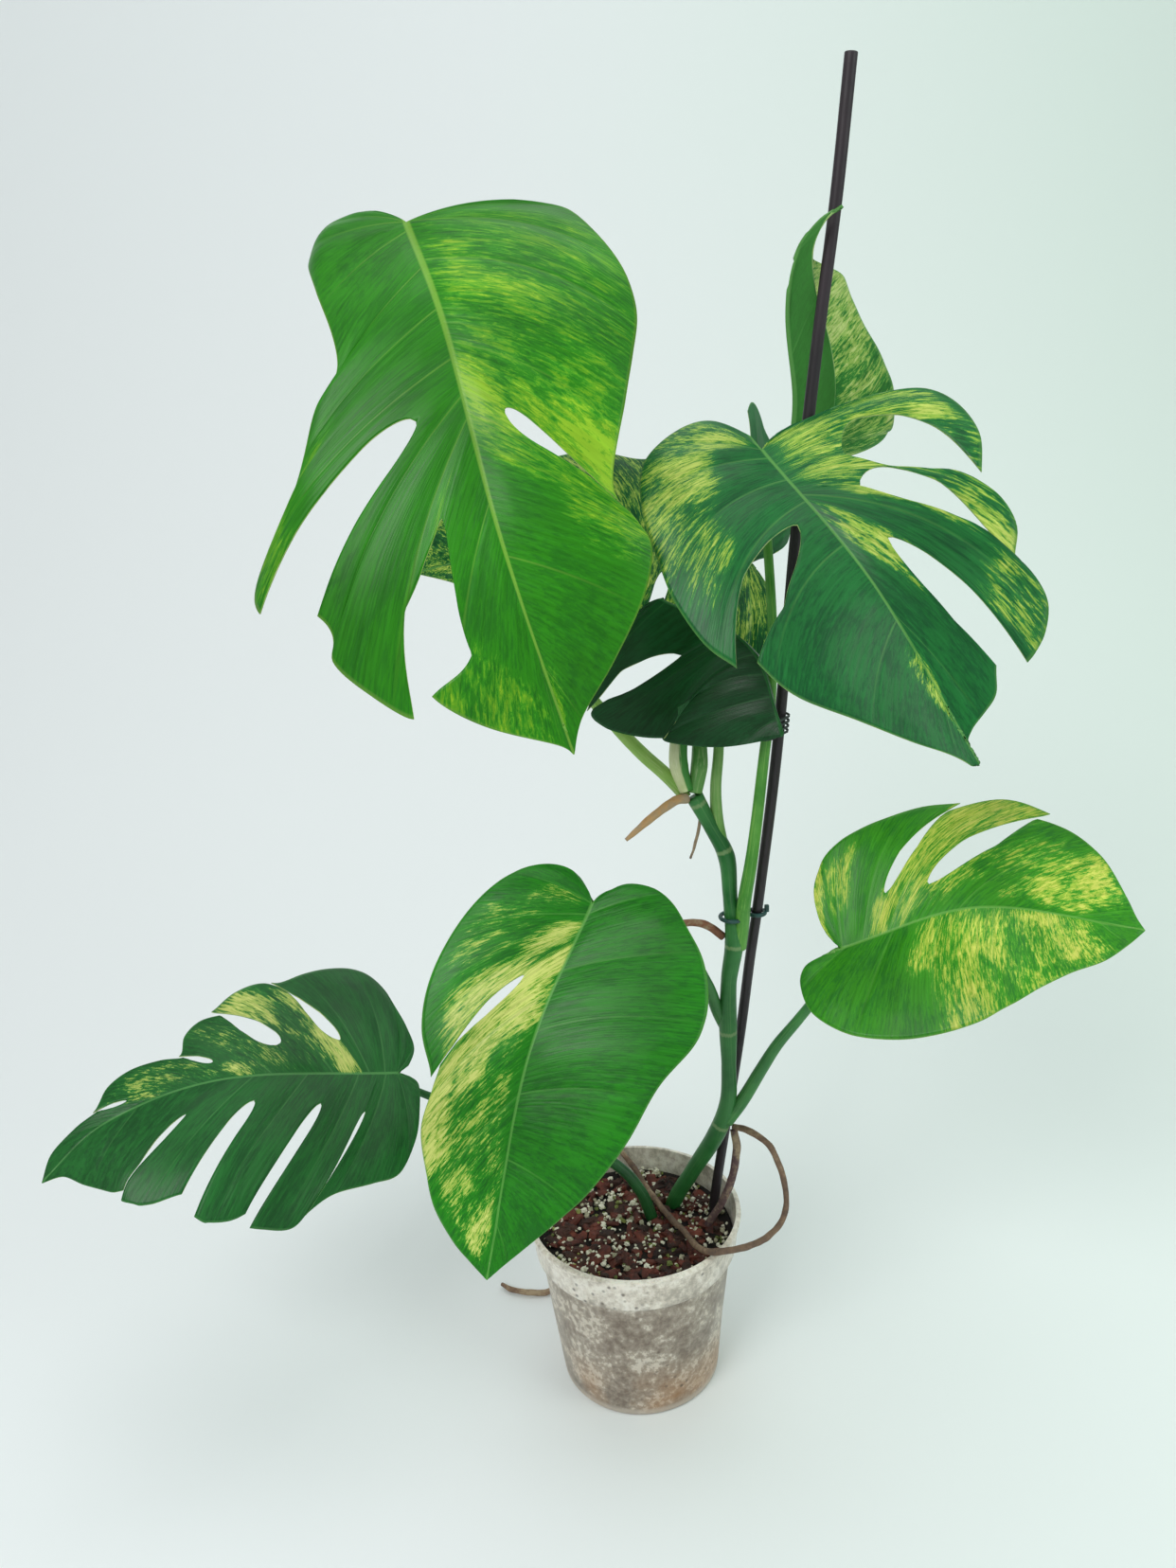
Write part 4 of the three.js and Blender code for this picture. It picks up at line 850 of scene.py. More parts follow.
class Skin:
    """A material in the making, with short names for the nodes that it uses most."""

    def __init__(self, name):
        self.material = bpy.data.materials.new(name)
        self.material.use_nodes = True
        self.tree = self.material.node_tree
        self.tree.nodes.clear()
        self.shader = self.add("ShaderNodeBsdfPrincipled")
        self.add("ShaderNodeOutputMaterial", Surface=self.shader)
        self.place = self.add("ShaderNodeTexCoord").outputs["Object"]

    def add(self, kind, settings=None, **inputs):
        return add(self.tree, kind, settings, **inputs)

    def moved(self, place, location=(0, 0, 0), scale=(1, 1, 1)):
        return self.add("ShaderNodeMapping", Vector=place, Location=location, Scale=scale)

    def parts(self, vector):
        return self.add("ShaderNodeSeparateXYZ", Vector=vector).outputs

    def noise(self, place, scale, detail, rough=0.5, warp=0.0, dimensions="3D"):
        return self.add(
            "ShaderNodeTexNoise", {"noise_dimensions": dimensions},
            Vector=place, Scale=scale, Detail=detail, Roughness=rough, Distortion=warp,
        )

    def remap(self, value, low, high, start, end, kind="LINEAR"):
        return self.add(
            "ShaderNodeMapRange", {"interpolation_type": kind},
            Value=value, From_Min=low, From_Max=high, To_Min=start, To_Max=end,
        )

    def maths(self, operation, *values):
        inputs = {f"in_{k}": value for k, value in enumerate(values)}
        return self.add("ShaderNodeMath", {"operation": operation}, **inputs)

    def scaled(self, value, factor, offset):
        return self.maths("MULTIPLY_ADD", value, factor, offset)

    def ramp(self, value, *stops):
        node = self.add("ShaderNodeValToRGB", Fac=value)
        elements = node.color_ramp.elements
        while len(elements) < len(stops):
            elements.new(1)
        for element, (position, code) in zip(elements, stops):
            element.position = position
            element.color = hex_colour(code)
        return node

    def mix(self, share, one, two, kind="MIX"):
        settings = {"data_type": "RGBA", "blend_type": kind}
        return self.add("ShaderNodeMix", settings, in_0=share, in_6=one, in_7=two).outputs[2]

    def bump(self, height, strength, distance):
        return self.add("ShaderNodeBump", Height=height, Strength=strength, Distance=distance)

    def finish(self, **inputs):
        """Fills the shader's own inputs and gives the material."""
        for key, value in inputs.items():
            plug(self.tree, self.shader.inputs[key.replace("_", " ")], value)
        return self.material


def leaf_skin(name, tones, midrib_width, seed, under=False):
    """Living leaf, waxy on top: dark base green, streaky paler tissue that follows the veins, pale veins.

    Below it is duller and paler, because the light comes back out of the spongy tissue there.
    """
    deep, base, speck, splash, cream_tone, vein_tone, under_tone = tones
    skin = Skin(name)
    veins, place, marks = [skin.add("ShaderNodeUVMap", {"uv_map": name}) for name in UV_MAPS]
    phase, share, _ = skin.parts(veins)
    gap, cream_and_sheen, _ = skin.parts(marks)
    from_joint, from_midrib, _ = skin.parts(place)

    # Tissue streaks: about 1.5 mm wide and 12 mm long, laid along the veins, in patches of 10 mm or so
    streaks = skin.noise(skin.moved(veins, (seed, seed * 0.7, seed), (30, 9, 1)), 1, 8, 0.75, 0.3, "2D")
    patches = skin.noise(skin.moved(veins, (seed * 1.3, seed, 0), (3.2, 2.4, 1)), 1, 3, 0.6, 0.5, "2D")
    grain = skin.scaled(streaks, 2.1, skin.scaled(patches, 1.1, -1.6))
    uneven = skin.scaled(grain, skin.remap(cream_and_sheen, 0, 0.34, 0.3, 1), 0.07)
    # The pale share carries the splashes and, where a leaf lists one, a strip of painted sheen
    colour = skin.ramp(
        skin.scaled(cream_and_sheen, 0.66, uneven),
        (0, deep), (0.12, base), (0.27, base), (0.31, speck), (0.39, speck), (0.43, splash), (0.58, splash),
        (0.68, cream_tone),
    )

    # Fine lines between the side veins, 1 mm apart, drawn a little coarser than they are so that they show
    lines = skin.noise(skin.moved(veins, (seed, 0, 0), (26, 2, 1)), 1, 2, dimensions="2D")
    colour = skin.mix(1, colour, skin.remap(lines, 0.3, 0.7, 0.88, 1.12), "MULTIPLY")

    # Side veins: a pale line half a millimetre wide that fades towards the margin
    off = skin.maths("ABSOLUTE", skin.maths("SUBTRACT", skin.maths("FRACT", phase), 0.5))
    side_vein = skin.remap(skin.maths("MULTIPLY", off, gap), 0.2, 0.9, 1, 0, "SMOOTHSTEP")
    side_vein = skin.maths("MULTIPLY", side_vein, skin.remap(share, 0.1, 0.95, 0.32, 0.03))

    # Midrib: widest at the petiole and thinning out towards the tip
    width = skin.remap(from_joint, 0, 300, midrib_width, 0.7)
    ratio = skin.maths("DIVIDE", skin.maths("ABSOLUTE", from_midrib), width)
    midrib = skin.remap(ratio, 0.45, 1.15, 0.7, 0, "SMOOTHSTEP")
    colour = skin.mix(skin.maths("MAXIMUM", side_vein, midrib), colour, vein_tone)

    # Thin pale margin
    colour = skin.mix(skin.remap(share, 0.982, 0.998, 0, 0.6), colour, vein_tone)

    # Broad changes of tone over 60 mm or so
    cloud = skin.noise(skin.place, 16, 2)
    colour = skin.mix(1, colour, skin.remap(cloud, 0.3, 0.7, 0.84, 1.16), "MULTIPLY")
    if under:
        colour = skin.mix(0.45, colour, under_tone)
    smoother, rougher = (0.5, 0.62) if under else (0.3, 0.42)
    rough = skin.remap(lines, 0.3, 0.7, smoother, rougher)
    bump = skin.bump(lines, 0.35, 0.00035)
    return skin.finish(Base_Color=colour, Roughness=rough, Normal=bump, IOR=1.42, Specular_IOR_Level=0.34)


def cut_edge(name, code):
    """The blade's cut margin: thin, in the veins' pale green going to a paler yellow-green that is a painted
    highlight, so it shows as a fine bright line.
    """
    skin = Skin(name)
    # The paler yellow-green is painted highlight along the rim
    colour = skin.ramp(skin.noise(skin.place, 120, 2), (0.35, code), (0.7, "#b9c77a"))
    return skin.finish(Base_Color=colour, Roughness=0.55)


def stalk_skin(name, low, high, fleck, flecks=0.5, rough=0.42, bands=(), right=None):
    """Smooth green stalk: waxy, with fine lengthwise lines and paler flecks.

    bands are the distances of pale rings at the joints; right is the tone of a stalk's other side.
    """
    skin = Skin(name)
    along = skin.add("ShaderNodeAttribute", {"attribute_name": "along"}).outputs["Fac"]
    turn = skin.add("ShaderNodeAttribute", {"attribute_name": "turn"}).outputs["Vector"]
    reach = skin.maths("MULTIPLY", along, 0.006)
    around = skin.add("ShaderNodeVectorMath", {"operation": "SCALE"}, Vector=turn, Scale=2.6)
    offset = skin.add("ShaderNodeCombineXYZ", X=reach, Y=reach, Z=reach)
    line_place = skin.add("ShaderNodeVectorMath", {"operation": "ADD"}, in_0=around, in_1=offset)
    lines = skin.noise(line_place, 2.2, 3, 0.55)
    cloud = skin.noise(skin.place, 34, 4, 0.6)
    colour = skin.ramp(cloud, (0.36, low), (0.62, high))
    colour = skin.mix(skin.remap(lines, 0.54, 0.66, 0, flecks), colour, fleck)
    if right:
        edge = skin.scaled(lines, 0.6, skin.parts(turn)[0])
        colour = skin.mix(skin.remap(edge, 0.25, 0.5, 0, 1), colour, right)
    for place in bands:
        wobble = skin.scaled(lines, 3, skin.maths("SUBTRACT", along, place))
        ring = skin.remap(skin.maths("ABSOLUTE", wobble), 0.4 * BAND_WIDTH, BAND_WIDTH, 0.75, 0)
        colour = skin.mix(ring, colour, "#7d9a66")
    roughness = skin.remap(cloud, 0.3, 0.7, rough - 0.06, rough + 0.1)
    return skin.finish(Base_Color=colour, Roughness=roughness, Normal=skin.bump(lines, 0.2, 0.0004), IOR=1.42)


def root_rind(name, low, high):
    """Dry aerial root: dull brown cork with paler scuffs."""
    skin = Skin(name)
    scuff = skin.noise(skin.place, 260, 5, 0.65)
    mixed = skin.scaled(scuff, 0.55, skin.noise(skin.place, 30, 3))
    colour = skin.ramp(mixed, (0.58, low), (0.78, high), (0.95, "#a89478"))
    return skin.finish(Base_Color=colour, Roughness=0.82, Normal=skin.bump(scuff, 0.6, 0.0008))


def stake_coat(name):
    """Steel tube with a matt plastic coat, dark brown-purple, rubbed a little shinier along its length."""
    skin = Skin(name)
    grain = skin.noise(skin.moved(skin.place, scale=(900, 900, 60)), 1, 3, 0.6)
    colour = skin.ramp(skin.noise(skin.place, 14, 4), (0.35, "#191218"), (0.65, "#2c2128"))
    rough = skin.remap(grain, 0.3, 0.7, 0.42, 0.6)
    return skin.finish(Base_Color=colour, Roughness=rough, Normal=skin.bump(grain, 0.25, 0.0002))


def clip_plastic(name, low, high, rough):
    """Moulded polypropylene, dark teal, satin: soft highlights and faint flow marks."""
    skin = Skin(name)
    colour = skin.ramp(skin.noise(skin.place, 300, 3), (0.35, low), (0.7, high))
    return skin.finish(Base_Color=colour, Roughness=rough)


def pot_plastic(name):
    """Blow-moulded clear polypropylene gone milky: the damp mix shows through the wall as brown clouds."""
    skin = Skin(name)
    height = skin.parts(skin.place)[2]
    cloud = skin.noise(skin.place, 32, 7, 0.7)
    fine = skin.noise(skin.place, 260, 6, 0.7)
    both = skin.scaled(fine, 0.75, cloud)
    body = skin.ramp(both, (0.68, "#786a5c"), (0.84, "#94887a"), (0.95, "#aca192"), (1, "#cfc6b7"))
    band = skin.ramp(both, (0.7, "#b3aa9c"), (0.85, "#d9d0c2"), (1, "#f4eee2"))
    filled = skin.remap(skin.scaled(cloud, 0.016, height), 0.102, 0.114, 0, 1, "SMOOTHSTEP")
    colour = skin.mix(filled, body, band)

    # Rust-coloured water marks low on the wall
    stain = skin.noise(skin.place, 18, 4)
    low, patch = skin.remap(height, 0.012, 0.05, 0.62, 0), skin.remap(stain, 0.42, 0.62, 0, 1)
    colour = skin.mix(skin.maths("MULTIPLY", low, patch), colour, "#a8763f")

    # The foot is bare of mix and stays clear and pale
    colour = skin.mix(skin.remap(height, 0.003, 0.008, 0.7, 0, "SMOOTHSTEP"), colour, "#cfc3b4")

    # Dark specks of bark against the wall
    cells = skin.add("ShaderNodeTexVoronoi", Vector=skin.place, Scale=150, Randomness=1)
    speck, patch = skin.remap(cells, 0.1, 0.26, 1, 0), skin.remap(stain, 0.56, 0.62, 0, 0.75)
    colour = skin.mix(skin.maths("MULTIPLY", speck, patch), colour, "#4a3a30")
    rough = skin.remap(fine, 0.3, 0.7, 0.28, 0.5)
    return skin.finish(
        Base_Color=colour, Roughness=rough, Normal=skin.bump(fine, 0.2, 0.0006), IOR=1.49,
        Subsurface_Weight=0.25, Subsurface_Radius=(0.004, 0.003, 0.002),
    )


def mix_material(name, low, high, rough, size, relief):
    """Pieces of the potting mix: rough and matt; size is the grain in millimetres and relief its height."""
    skin = Skin(name)
    grain = skin.noise(skin.place, 1000 / size, 4, 0.65)
    both = skin.scaled(grain, 0.5, skin.noise(skin.place, 90, 2))
    colour = skin.ramp(both, (0.55, low), (0.95, high))
    return skin.finish(Base_Color=colour, Roughness=rough, Normal=skin.bump(grain, 0.7, relief * MM))


def studio_paper(name):
    """Studio paper: matt, white on the left and faintly mint on the right, with a trace of unevenness."""
    skin = Skin(name)
    uneven = skin.scaled(skin.noise(skin.place, 1.5, 2), 0.4, skin.parts(skin.place)[0])
    tone = skin.mix(skin.remap(uneven, 0.1, 1.1, 0, 1), "#eef2f3", "#e9f6ef")
    return skin.finish(Base_Color=tone, Roughness=0.9)


# Pieces


def leaves():
    for seed, (name, leaf) in enumerate(LEAVES.items()):
        tones, width = LEAF_TONES[name], MIDRIB_WIDTHS.get(name, 1.3)
        materials = [
            leaf_skin("leaf_" + name + "_waxy_upper_skin", tones, width, 3.7 * seed + 1.3),
            leaf_skin("leaf_" + name + "_dull_lower_skin", tones, width, 3.7 * seed + 1.3, under=True),
            cut_edge("leaf_" + name + "_pale_margin", tones[VEIN_TONE]),
        ]
        dress(leaf_piece(name, leaf), materials, "leaf_" + name)


def stem_piece():
    path = Path(STEM)
    joints = [float(path.reach[np.argmin(abs(path.places[:, 2] - z))]) for z in JOINT_HEIGHTS]
    skin = stalk_skin("climbing_stem_green_rind", "#1f622c", "#34793a", "#5f9152", 0.3, 0.4, joints)
    limb_piece("monstera_stem", path, bumpy(path, 30, 0.2, 2), 28, 1.6, skin, "stem")


def petioles():
    skins = {
        "a": stalk_skin("petiole_a_pale_green_skin", "#74a840", "#96c05e", "#c3d897", 0.5),
        "b": stalk_skin("petiole_b_green_skin", "#3b8228", "#57993a", "#8fbf5c", 0.6),
        "c": stalk_skin("petiole_c_green_skin", "#2c6632", "#3f7a3e", "#6a9a5c", 0.35),
        "d": stalk_skin("petiole_d_green_skin", "#2c6c38", "#418542", "#78a862", 0.35),
        "e": stalk_skin("petiole_e_dark_green_skin", "#174a22", "#24602c", "#4f8450", 0.3),
        "f": stalk_skin("petiole_f_green_skin", "#5c9440", "#79a95a", "#b3c98a", 0.5),
        "g": stalk_skin("petiole_g_green_skin", "#4a8a40", "#6a9f52", "#a8c487", 0.5),
        "h": stalk_skin("petiole_h_cream_green_skin", "#bccc8a", "#dde2b4", "#eef0d2", 0.5, right="#3f8a38"),
    }
    for name in PETIOLES:
        path = Path(petiole_route(name))
        node = "petiole_" + name
        limb_piece("monstera_" + node, path, bumpy(path, 32, 0.12, 5), 24, 1.8, skins[name], node)


def roots():
    rinds = {
        "long": root_rind("long_root_brown_rind", "#51423a", "#7d6450"),
        "stake": root_rind("stake_root_purple_brown_rind", "#3d2a30", "#5f4848"),
        "joint": root_rind("joint_root_brown_rind", "#6a4434", "#8a5a42"),
        "stub": root_rind("root_stub_tan_rind", "#a27c50", "#c39a68"),
        "thread": root_rind("root_thread_dry_rind", "#5a4a3c", "#7d6a58"),
    }
    for name, route in ROOTS.items():
        path = Path(route)
        node = "root_" + name
        limb_piece("aerial_" + node, path, bumpy(path, 7, 0.45, 9), 14, 1.6, rinds[name], node)


def stake_piece():
    path = Path(STAKE_ROUTE)
    bm = bmesh.new()
    limb(bm, path, even(STAKE_RADIUS), 28, 6)
    closed(bm)
    upward = Vector(path.direction(path.length))
    rim = [e for e in bm.edges if any(f.normal.dot(upward) > 0.99 for f in e.link_faces)]
    soften(bm, rim, 0.5, 2)
    dress(finish_piece("plant_stake", bm), [stake_coat("stake_matt_dark_coat")], "stake")


def torus(bm, centre, radius, wire):
    """A round ring: a small circle spun all the way round."""
    middle = Vector(centre) * MM
    stand = Matrix.Translation(middle + Vector((radius * MM, 0, 0))) @ Matrix.Rotation(math.pi / 2, 4, "X")
    circle = bmesh.ops.create_circle(bm, cap_ends=False, segments=14, radius=wire * MM, matrix=stand)["verts"]
    edges = {e for v in circle for e in v.link_edges}
    spin(bm, [*circle, *edges], middle, 56)


def clip_piece():
    """Two rings, round the stem and round the stake, with a bridge behind the petiole and a thumb tab."""
    wire, height, tab = CLIP["wire"], CLIP["z"], CLIP["knob"]
    stem = Path(STEM).at_height(height)
    stake = Path(STAKE_ROUTE).at_height(height)
    stem_reach = CLIP["stem_radius"] + CLIP["clearance"] + wire
    stake_reach = STAKE_RADIUS + CLIP["clearance"] + wire
    corner = math.sqrt(0.5) * stem_reach
    start = np.array([stem[0] + corner - 0.5, stem[1] + corner, height])
    finish = np.array([stake[0] - stake_reach + 0.5, stake[1], height])
    bm = bmesh.new()
    torus(bm, stem, stem_reach, wire)
    torus(bm, stake, stake_reach, wire)
    limb(bm, Path([start, (start + finish) / 2, finish]), even(wire), 12, 2)
    knob = bmesh.ops.create_cube(bm, size=MM)["verts"]
    bmesh.ops.scale(bm, verts=knob, vec=tab)
    centre = Vector((stake[0] + stake_reach + 1.2, stake[1], height + tab[2] / 2))
    bmesh.ops.translate(bm, verts=knob, vec=centre * MM)
    soften(bm, list({e for v in knob for e in v.link_edges}), 0.6, 3)
    closed(bm)
    plastic = clip_plastic("clip_teal_polypropylene", "#123632", "#24534e", 0.42)
    dress(finish_piece("vine_clip_rings", bm), [plastic], "vine_clip")


def tie_piece():
    """A few turns of thin coated wire round the stake and the petiole beside it."""
    stake_path, petiole_path = Path(STAKE_ROUTE), Path(PETIOLES["b"])
    reach = STAKE_RADIUS + TIE["clearance"] + TIE["wire"]
    points = []
    for k in range(TIE["turns"] * TIE["steps_per_turn"] + 1):
        z = TIE["z"] + (k / TIE["steps_per_turn"] - TIE["turns"] / 2) * TIE["pitch"]
        stake, petiole = stake_path.at_height(z), petiole_path.at_height(z)
        turn = math.atan2(petiole[1] - stake[1], petiole[0] - stake[0])
        angle = TURN * (k + 0.5) / TIE["steps_per_turn"]
        centre = petiole if math.cos(angle) > 0 else stake
        x, y = centre[0] + reach * math.cos(angle + turn), centre[1] + reach * math.sin(angle + turn)
        points.append((x, y, z))
    wire = clip_plastic("tie_coated_wire", "#10201c", "#1c302a", 0.5)
    limb_piece("stake_tie_wire", Path(points), even(TIE["wire"]), 10, 1.5, wire, "stake_tie")


def inner_wall():
    """The pot's inside from its floor to its lip, as radius and height."""
    p = POT
    foot, shoulder, rim = [p[key] - p["wall"] for key in ("foot_radius", "shoulder_radius", "rim_radius")]
    return [
        (foot - 3, p["floor"]), (foot - 1, p["floor"] + 2), (shoulder, p["shoulder_height"] - 2),
        (p["band_radius"] - p["wall"], p["shoulder_height"] + 3), (rim - 0.6, p["height"] - p["lip"]),
    ]


def pot_profile():
    """The pot's outline from the middle of its underside, up outside, over the lip and down inside."""
    pad, recess, foot, shoulder, band, rim, lip = [
        POT[part + "_radius"] for part in ("pad", "recess", "foot", "shoulder", "band", "rim", "lip")
    ]
    rise, chamfer, shoulder_height, top = [
        POT[part] for part in ("recess", "foot_chamfer", "shoulder_height", "height")
    ]
    lip_low = top - POT["lip"]
    return [
        (0, 0), (pad, 0), (pad + 1.5, rise), (recess, rise), (recess + 1.5, 0),
        (foot - chamfer, 0), (foot, chamfer), (shoulder, shoulder_height - 1.5),
        (band - 1, shoulder_height), (band, shoulder_height + 1.5),
        (rim, lip_low - 0.8), (lip, lip_low), (lip + 0.2, lip_low + 1), (lip, top - 0.7), (lip - 1, top),
        (rim - POT["wall"], top), *reversed(inner_wall()), (0, POT["floor"]),
    ]


def pot_piece():
    """The pot turned from its outline, its edges softened and its foot pierced."""
    bm = turned(pot_profile(), 120)
    # A long wall is cut into short rings so that it can be a little uneven, as blown plastic is
    uprights = [e for e in bm.edges if abs(e.verts[0].co.z - e.verts[1].co.z) > 40 * MM]
    bmesh.ops.subdivide_edges(bm, edges=uprights, cuts=9, use_grid_fill=True)
    closed(bm)
    for vert in bm.verts:
        outward = Vector((vert.co.x, vert.co.y, 0))
        if outward.length > 50 * MM:
            lean = noise.noise(vert.co * 14) * 0.7 + noise.noise(vert.co * 40) * 0.15
            vert.co += outward.normalized() * lean * MM
    piece = finish_piece("nursery_pot", bm)
    drills = bmesh.new()
    radius = POT["drain_radius"] * MM
    for k in range(POT["drain_holes"]):
        turn = Matrix.Rotation(TURN * k / POT["drain_holes"], 3, "Z")
        centre = turn @ Vector((POT["drain_circle"] * MM, 0, 0))
        bmesh.ops.create_cone(
            drills, cap_ends=True, segments=20, radius1=radius, radius2=radius, depth=3 * POT["floor"] * MM,
            matrix=Matrix.Translation(centre),
        )
    carve(piece, finish_piece("drain_cutter", drills, smooth=False))
    sharpen(piece, 40)
    dress(piece, [pot_plastic("pot_milky_polypropylene")], "pot")


def carve(piece, cutter):
    """Cuts one form out of another and keeps the result as the piece's own mesh."""
    tool = piece.modifiers.new("holes", "BOOLEAN")
    tool.operation = "DIFFERENCE"
    tool.solver = "EXACT"
    tool.object = cutter
    view = bpy.context.evaluated_depsgraph_get()
    result = bpy.data.meshes.new_from_object(piece.evaluated_get(view))
    piece.modifiers.clear()
    piece.data = result
    bpy.data.objects.remove(cutter)


def sharpen(piece, degrees):
    """Smooth shading with crisp edges where faces meet at more than the angle."""
    bm = bmesh.new()
    bm.from_mesh(piece.data)
    for face in bm.faces:
        face.smooth = True
    for edge in bm.edges:
        if len(edge.link_faces) == 2 and edge.calc_face_angle() > math.radians(degrees):
            edge.smooth = False
    bm.to_mesh(piece.data)
    bm.free()


def lump(bm, draw, place, size, index, block, rough):
    """One loose piece of the mix: a rough lump with flat faces, the nearer to a box the higher block is."""
    verts = bmesh.ops.create_uvsphere(bm, u_segments=8, v_segments=5, radius=1)["verts"]
    seed = Vector((draw.random() * 40, draw.random() * 40, draw.random() * 40))
    turn = Euler((draw.uniform(-0.5, 0.5), draw.uniform(-0.6, 0.6), draw.uniform(0, TURN))).to_matrix()
    for vert in verts:
        box = vert.co / max(abs(vert.co.x), abs(vert.co.y), abs(vert.co.z))
        form = vert.co.lerp(box, block) + noise.noise_vector(vert.co * 1.3 + seed) * rough
        vert.co = turn @ Vector([form[k] * size[k] / 2 for k in range(3)]) * MM + place
    for face in {f for v in verts for f in v.link_faces}:
        face.material_index = index
        face.smooth = False


def mix_surface(draw, reach, lift):
    """A random place on top of the mix, reach being how far out it may lie."""
    radius = reach * math.sqrt(draw.random())
    angle = draw.uniform(0, TURN)
    z = MIX_TOP + MIX_CROWN * (1 - radius / MIX_RADIUS) + lift
    return Vector((radius * math.cos(angle), radius * math.sin(angle), z)) * MM


def bark(bm, draw):
    size = (draw.uniform(6, 17), draw.uniform(4, 8), draw.uniform(2.5, 5.5))
    place = mix_surface(draw, MIX_RADIUS - size[0] / 2, draw.uniform(-1.5, 1.5))
    lump(bm, draw, place, size, 1 if draw.random() < 0.6 else 2, 0.75, 0.45)


def perlite(bm, draw):
    """A white grain; the grains lie in loose drifts between the splinters."""
    width = draw.uniform(1.4, 2.8) if draw.random() < 0.8 else draw.uniform(2.8, 4.8)
    size = (width, width * draw.uniform(0.6, 1), width * draw.uniform(0.5, 0.85))
    place = mix_surface(draw, MIX_RADIUS - width / 2, draw.uniform(0.8, 3.2))
    while noise.noise(place * 45) < draw.uniform(-0.5, 0.3):
        place = mix_surface(draw, MIX_RADIUS - width / 2, draw.uniform(0.8, 3.2))
    lump(bm, draw, place, size, 3 if draw.random() < 0.7 else 4, 0.3, 0.75)


def moss(bm, draw):
    width = draw.uniform(2.0, 4.5)
    size = (width, width * draw.uniform(0.6, 1), width * 0.6)
    lump(bm, draw, mix_surface(draw, MIX_RADIUS - 2, draw.uniform(0, 2.4)), size, 5, 0, 0.6)


def scatter(bm, draw, make, count):
    """Adds loose pieces, made thirty at a time because a small mesh is quicker to build."""
    batch = 30
    for made in range(0, count, batch):
        part = bmesh.new()
        for _ in range(min(batch, count - made)):
            make(part, draw)
        mesh = bpy.data.meshes.new("loose_pieces")
        part.to_mesh(mesh)
        part.free()
        bm.from_mesh(mesh)
        bpy.data.meshes.remove(mesh)


def mix_radius(z):
    """How far the mix reaches at a height, a little short of the pot's wall."""
    radii, heights = zip(*inner_wall())
    return float(np.interp(z, heights, radii)) - 0.6


def substrate_piece():
    """Potting mix: a dark filled body with bark splinters, perlite and bits of moss on top."""
    bottom, shoulder = POT["floor"], POT["shoulder_height"]
    outline = [
        (0, bottom + GAP), (mix_radius(bottom) - 1, bottom + GAP), (mix_radius(bottom + 2.5), bottom + 3),
        (mix_radius(shoulder - 2), shoulder - 2.4), (mix_radius(MIX_TOP - 2), MIX_TOP - 2),
        (mix_radius(MIX_TOP) - 4, MIX_TOP), (0, MIX_TOP + MIX_CROWN),
    ]
    bm = turned(outline, 72)
    closed(bm)
    draw = random.Random(MIX_SEED)
    noise.seed_set(MIX_SEED)
    scatter(bm, draw, bark, 360)
    scatter(bm, draw, perlite, 600)
    scatter(bm, draw, moss, 160)
    materials = [
        mix_material("damp_mix_dark", "#0c0706", "#1c100c", 0.95, 2.0, 1.0),
        mix_material("pine_bark_red_brown", "#3a1710", "#733424", 0.72, 3.0, 0.6),
        mix_material("pine_bark_dark", "#1e110d", "#48261a", 0.78, 3.0, 0.6),
        mix_material("perlite_white", "#d8d4be", "#f4f0de", 0.9, 1.2, 0.5),
        mix_material("perlite_grey", "#8d8870", "#c4bea4", 0.9, 1.2, 0.5),
        mix_material("moss_olive", "#4a5426", "#98a058", 0.95, 1.5, 0.6),
    ]
    dress(finish_piece("potting_mix", bm, smooth=False), materials, "substrate")


# Camera, light and floor

# The camera's place is read from the object's size in the photograph and the pot's rim seen as an ellipse.
CAMERA_PLACE = (-15.4, -694.3, 664.8)
CAMERA_DOWN = 17.87
CAMERA_ROLL = -3.22
FOCAL_PIXELS = 1244
FRAME_HEIGHT = 1656
SENSOR = 36.0


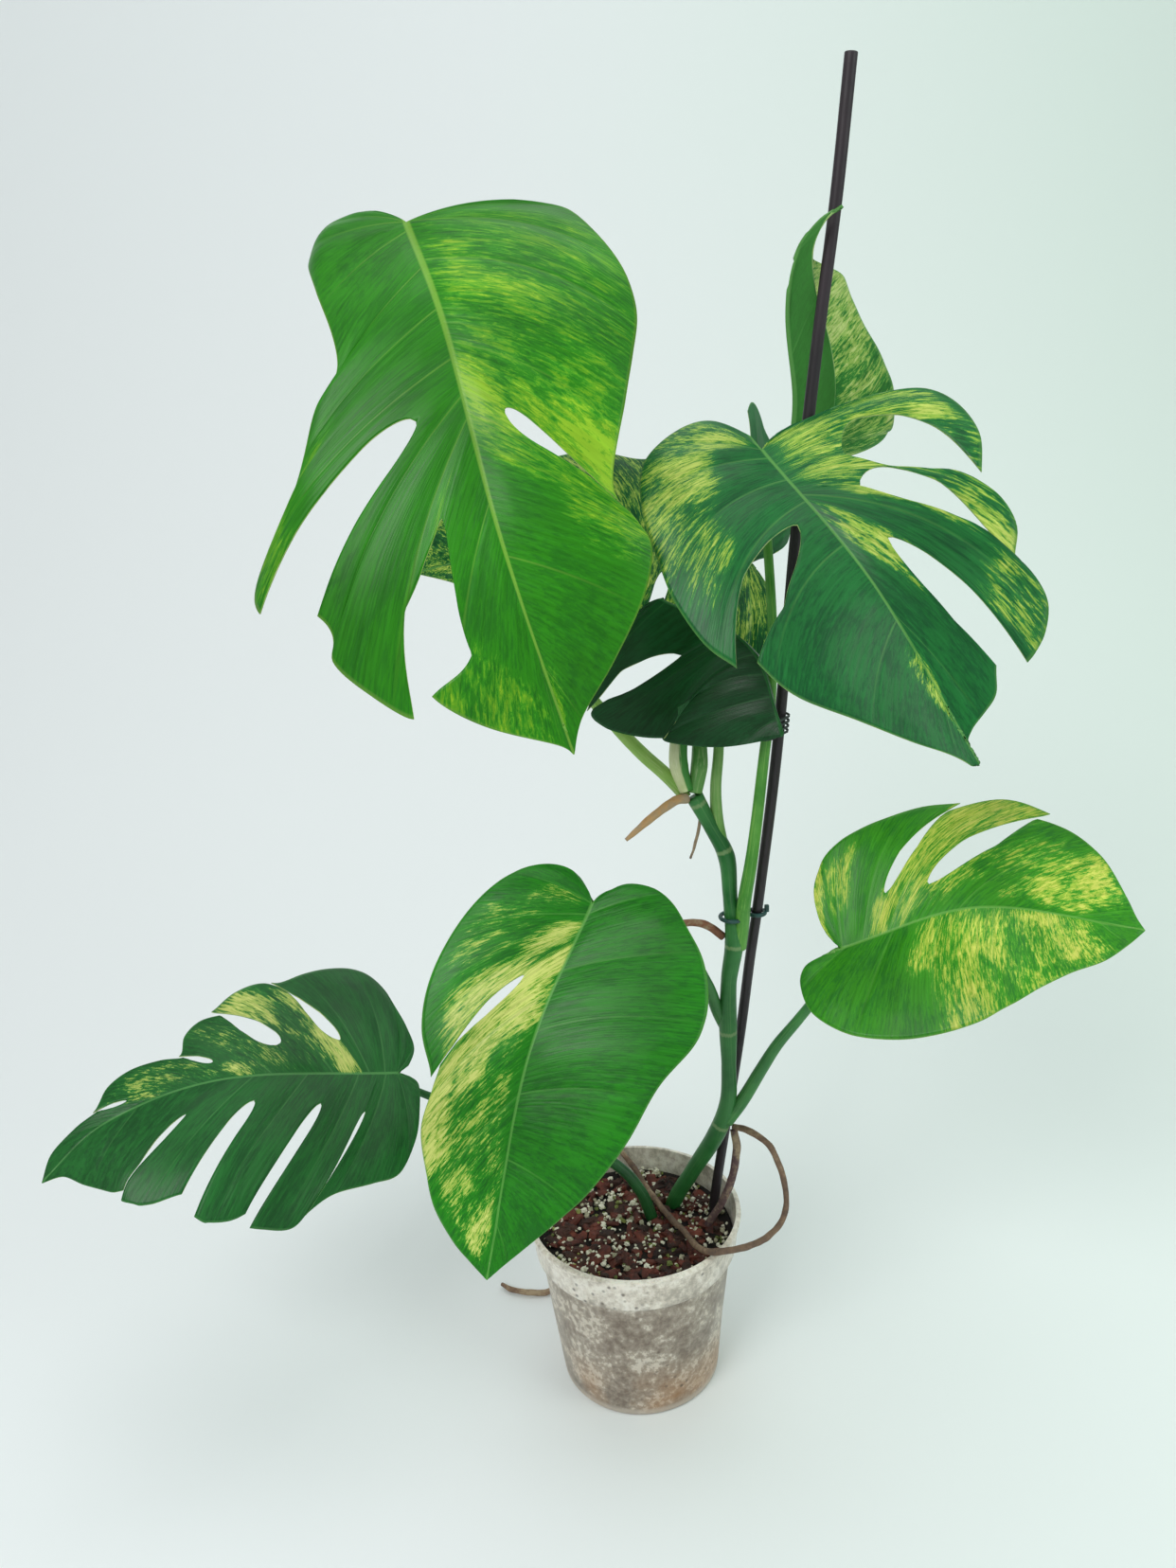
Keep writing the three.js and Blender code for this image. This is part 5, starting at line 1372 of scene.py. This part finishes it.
def camera():
    data = bpy.data.cameras.new("studio_camera")
    data.sensor_width = SENSOR
    data.lens = SENSOR * FOCAL_PIXELS / FRAME_HEIGHT
    data.clip_start, data.clip_end = 0.01, 20
    item = show("studio_camera", data)
    down, roll = math.radians(CAMERA_DOWN), math.radians(CAMERA_ROLL)
    forward = Vector((0, math.cos(down), -math.sin(down)))
    up = Vector((0, math.sin(down), math.cos(down)))
    right = Vector((1, 0, 0))
    image_right = right * math.cos(roll) + up * math.sin(roll)
    image_up = up * math.cos(roll) - right * math.sin(roll)
    turn = Matrix((image_right, image_up, -forward)).transposed()
    item.matrix_world = Matrix.Translation(Vector(CAMERA_PLACE) * MM) @ turn.to_4x4()
    bpy.context.scene.camera = item
    bpy.context.scene.view_settings.view_transform = "Standard"


def softbox(name, place, target, size, power, code):
    data = bpy.data.lights.new(name, "AREA")
    data.shape = "RECTANGLE"
    data.size, data.size_y = size
    data.energy = power
    data.color = hex_colour(code)[:3]
    item = show(name, data)
    item.location = place
    item.rotation_mode = "QUATERNION"
    item.rotation_quaternion = (Vector(target) - Vector(place)).to_track_quat("-Z", "Y")


def lights():
    softbox("softbox_front_left", (-1.1, -1.5, 1.9), (0, 0, 0.45), (1.1, 1.1), 25, "#ffffff")
    softbox("softbox_right", (1.5, -0.9, 1.3), (0, 0, 0.4), (1.0, 1.2), 9, "#f2fffa")
    softbox("softbox_top", (0.2, 0.2, 2.3), (0, 0, 0.3), (1.6, 1.6), 11, "#ffffff")
    world = bpy.data.worlds.new("studio_air")
    bpy.context.scene.world = world
    world.use_nodes = True
    air = world.node_tree.nodes["Background"]
    air.inputs["Color"].default_value = hex_colour("#eef3f2")
    air.inputs["Strength"].default_value = 0.49


def floor():
    """A paper sweep: flat under the pot, curving up behind it in one large arc."""
    flat, arc, top, front, half_width, clearance = 0.35, 1.3, 3.2, -3.0, 4, 0.0005
    turns = [math.pi / 2 * k / 48 for k in range(49)]
    bend = [(flat + arc * math.sin(t), arc * (1 - math.cos(t))) for t in turns]
    bm = bmesh.new()
    verts = [bm.verts.new((-half_width, y, z - clearance)) for y, z in [(front, 0), *bend, (flat + arc, top)]]
    edges = [bm.edges.new(pair) for pair in zip(verts, verts[1:])]
    made = bmesh.ops.extrude_edge_only(bm, edges=edges)["geom"]
    moved = [g for g in made if isinstance(g, bmesh.types.BMVert)]
    bmesh.ops.translate(bm, verts=moved, vec=(2 * half_width, 0, 0))
    bm.normal_update()
    sweep = finish_piece("studio_sweep", bm)
    sweep.data.materials.append(studio_paper("studio_paper_tinted"))


def main():
    leaves()
    stem_piece()
    petioles()
    roots()
    stake_piece()
    clip_piece()
    tie_piece()
    pot_piece()
    substrate_piece()
    camera()
    lights()
    floor()


main()
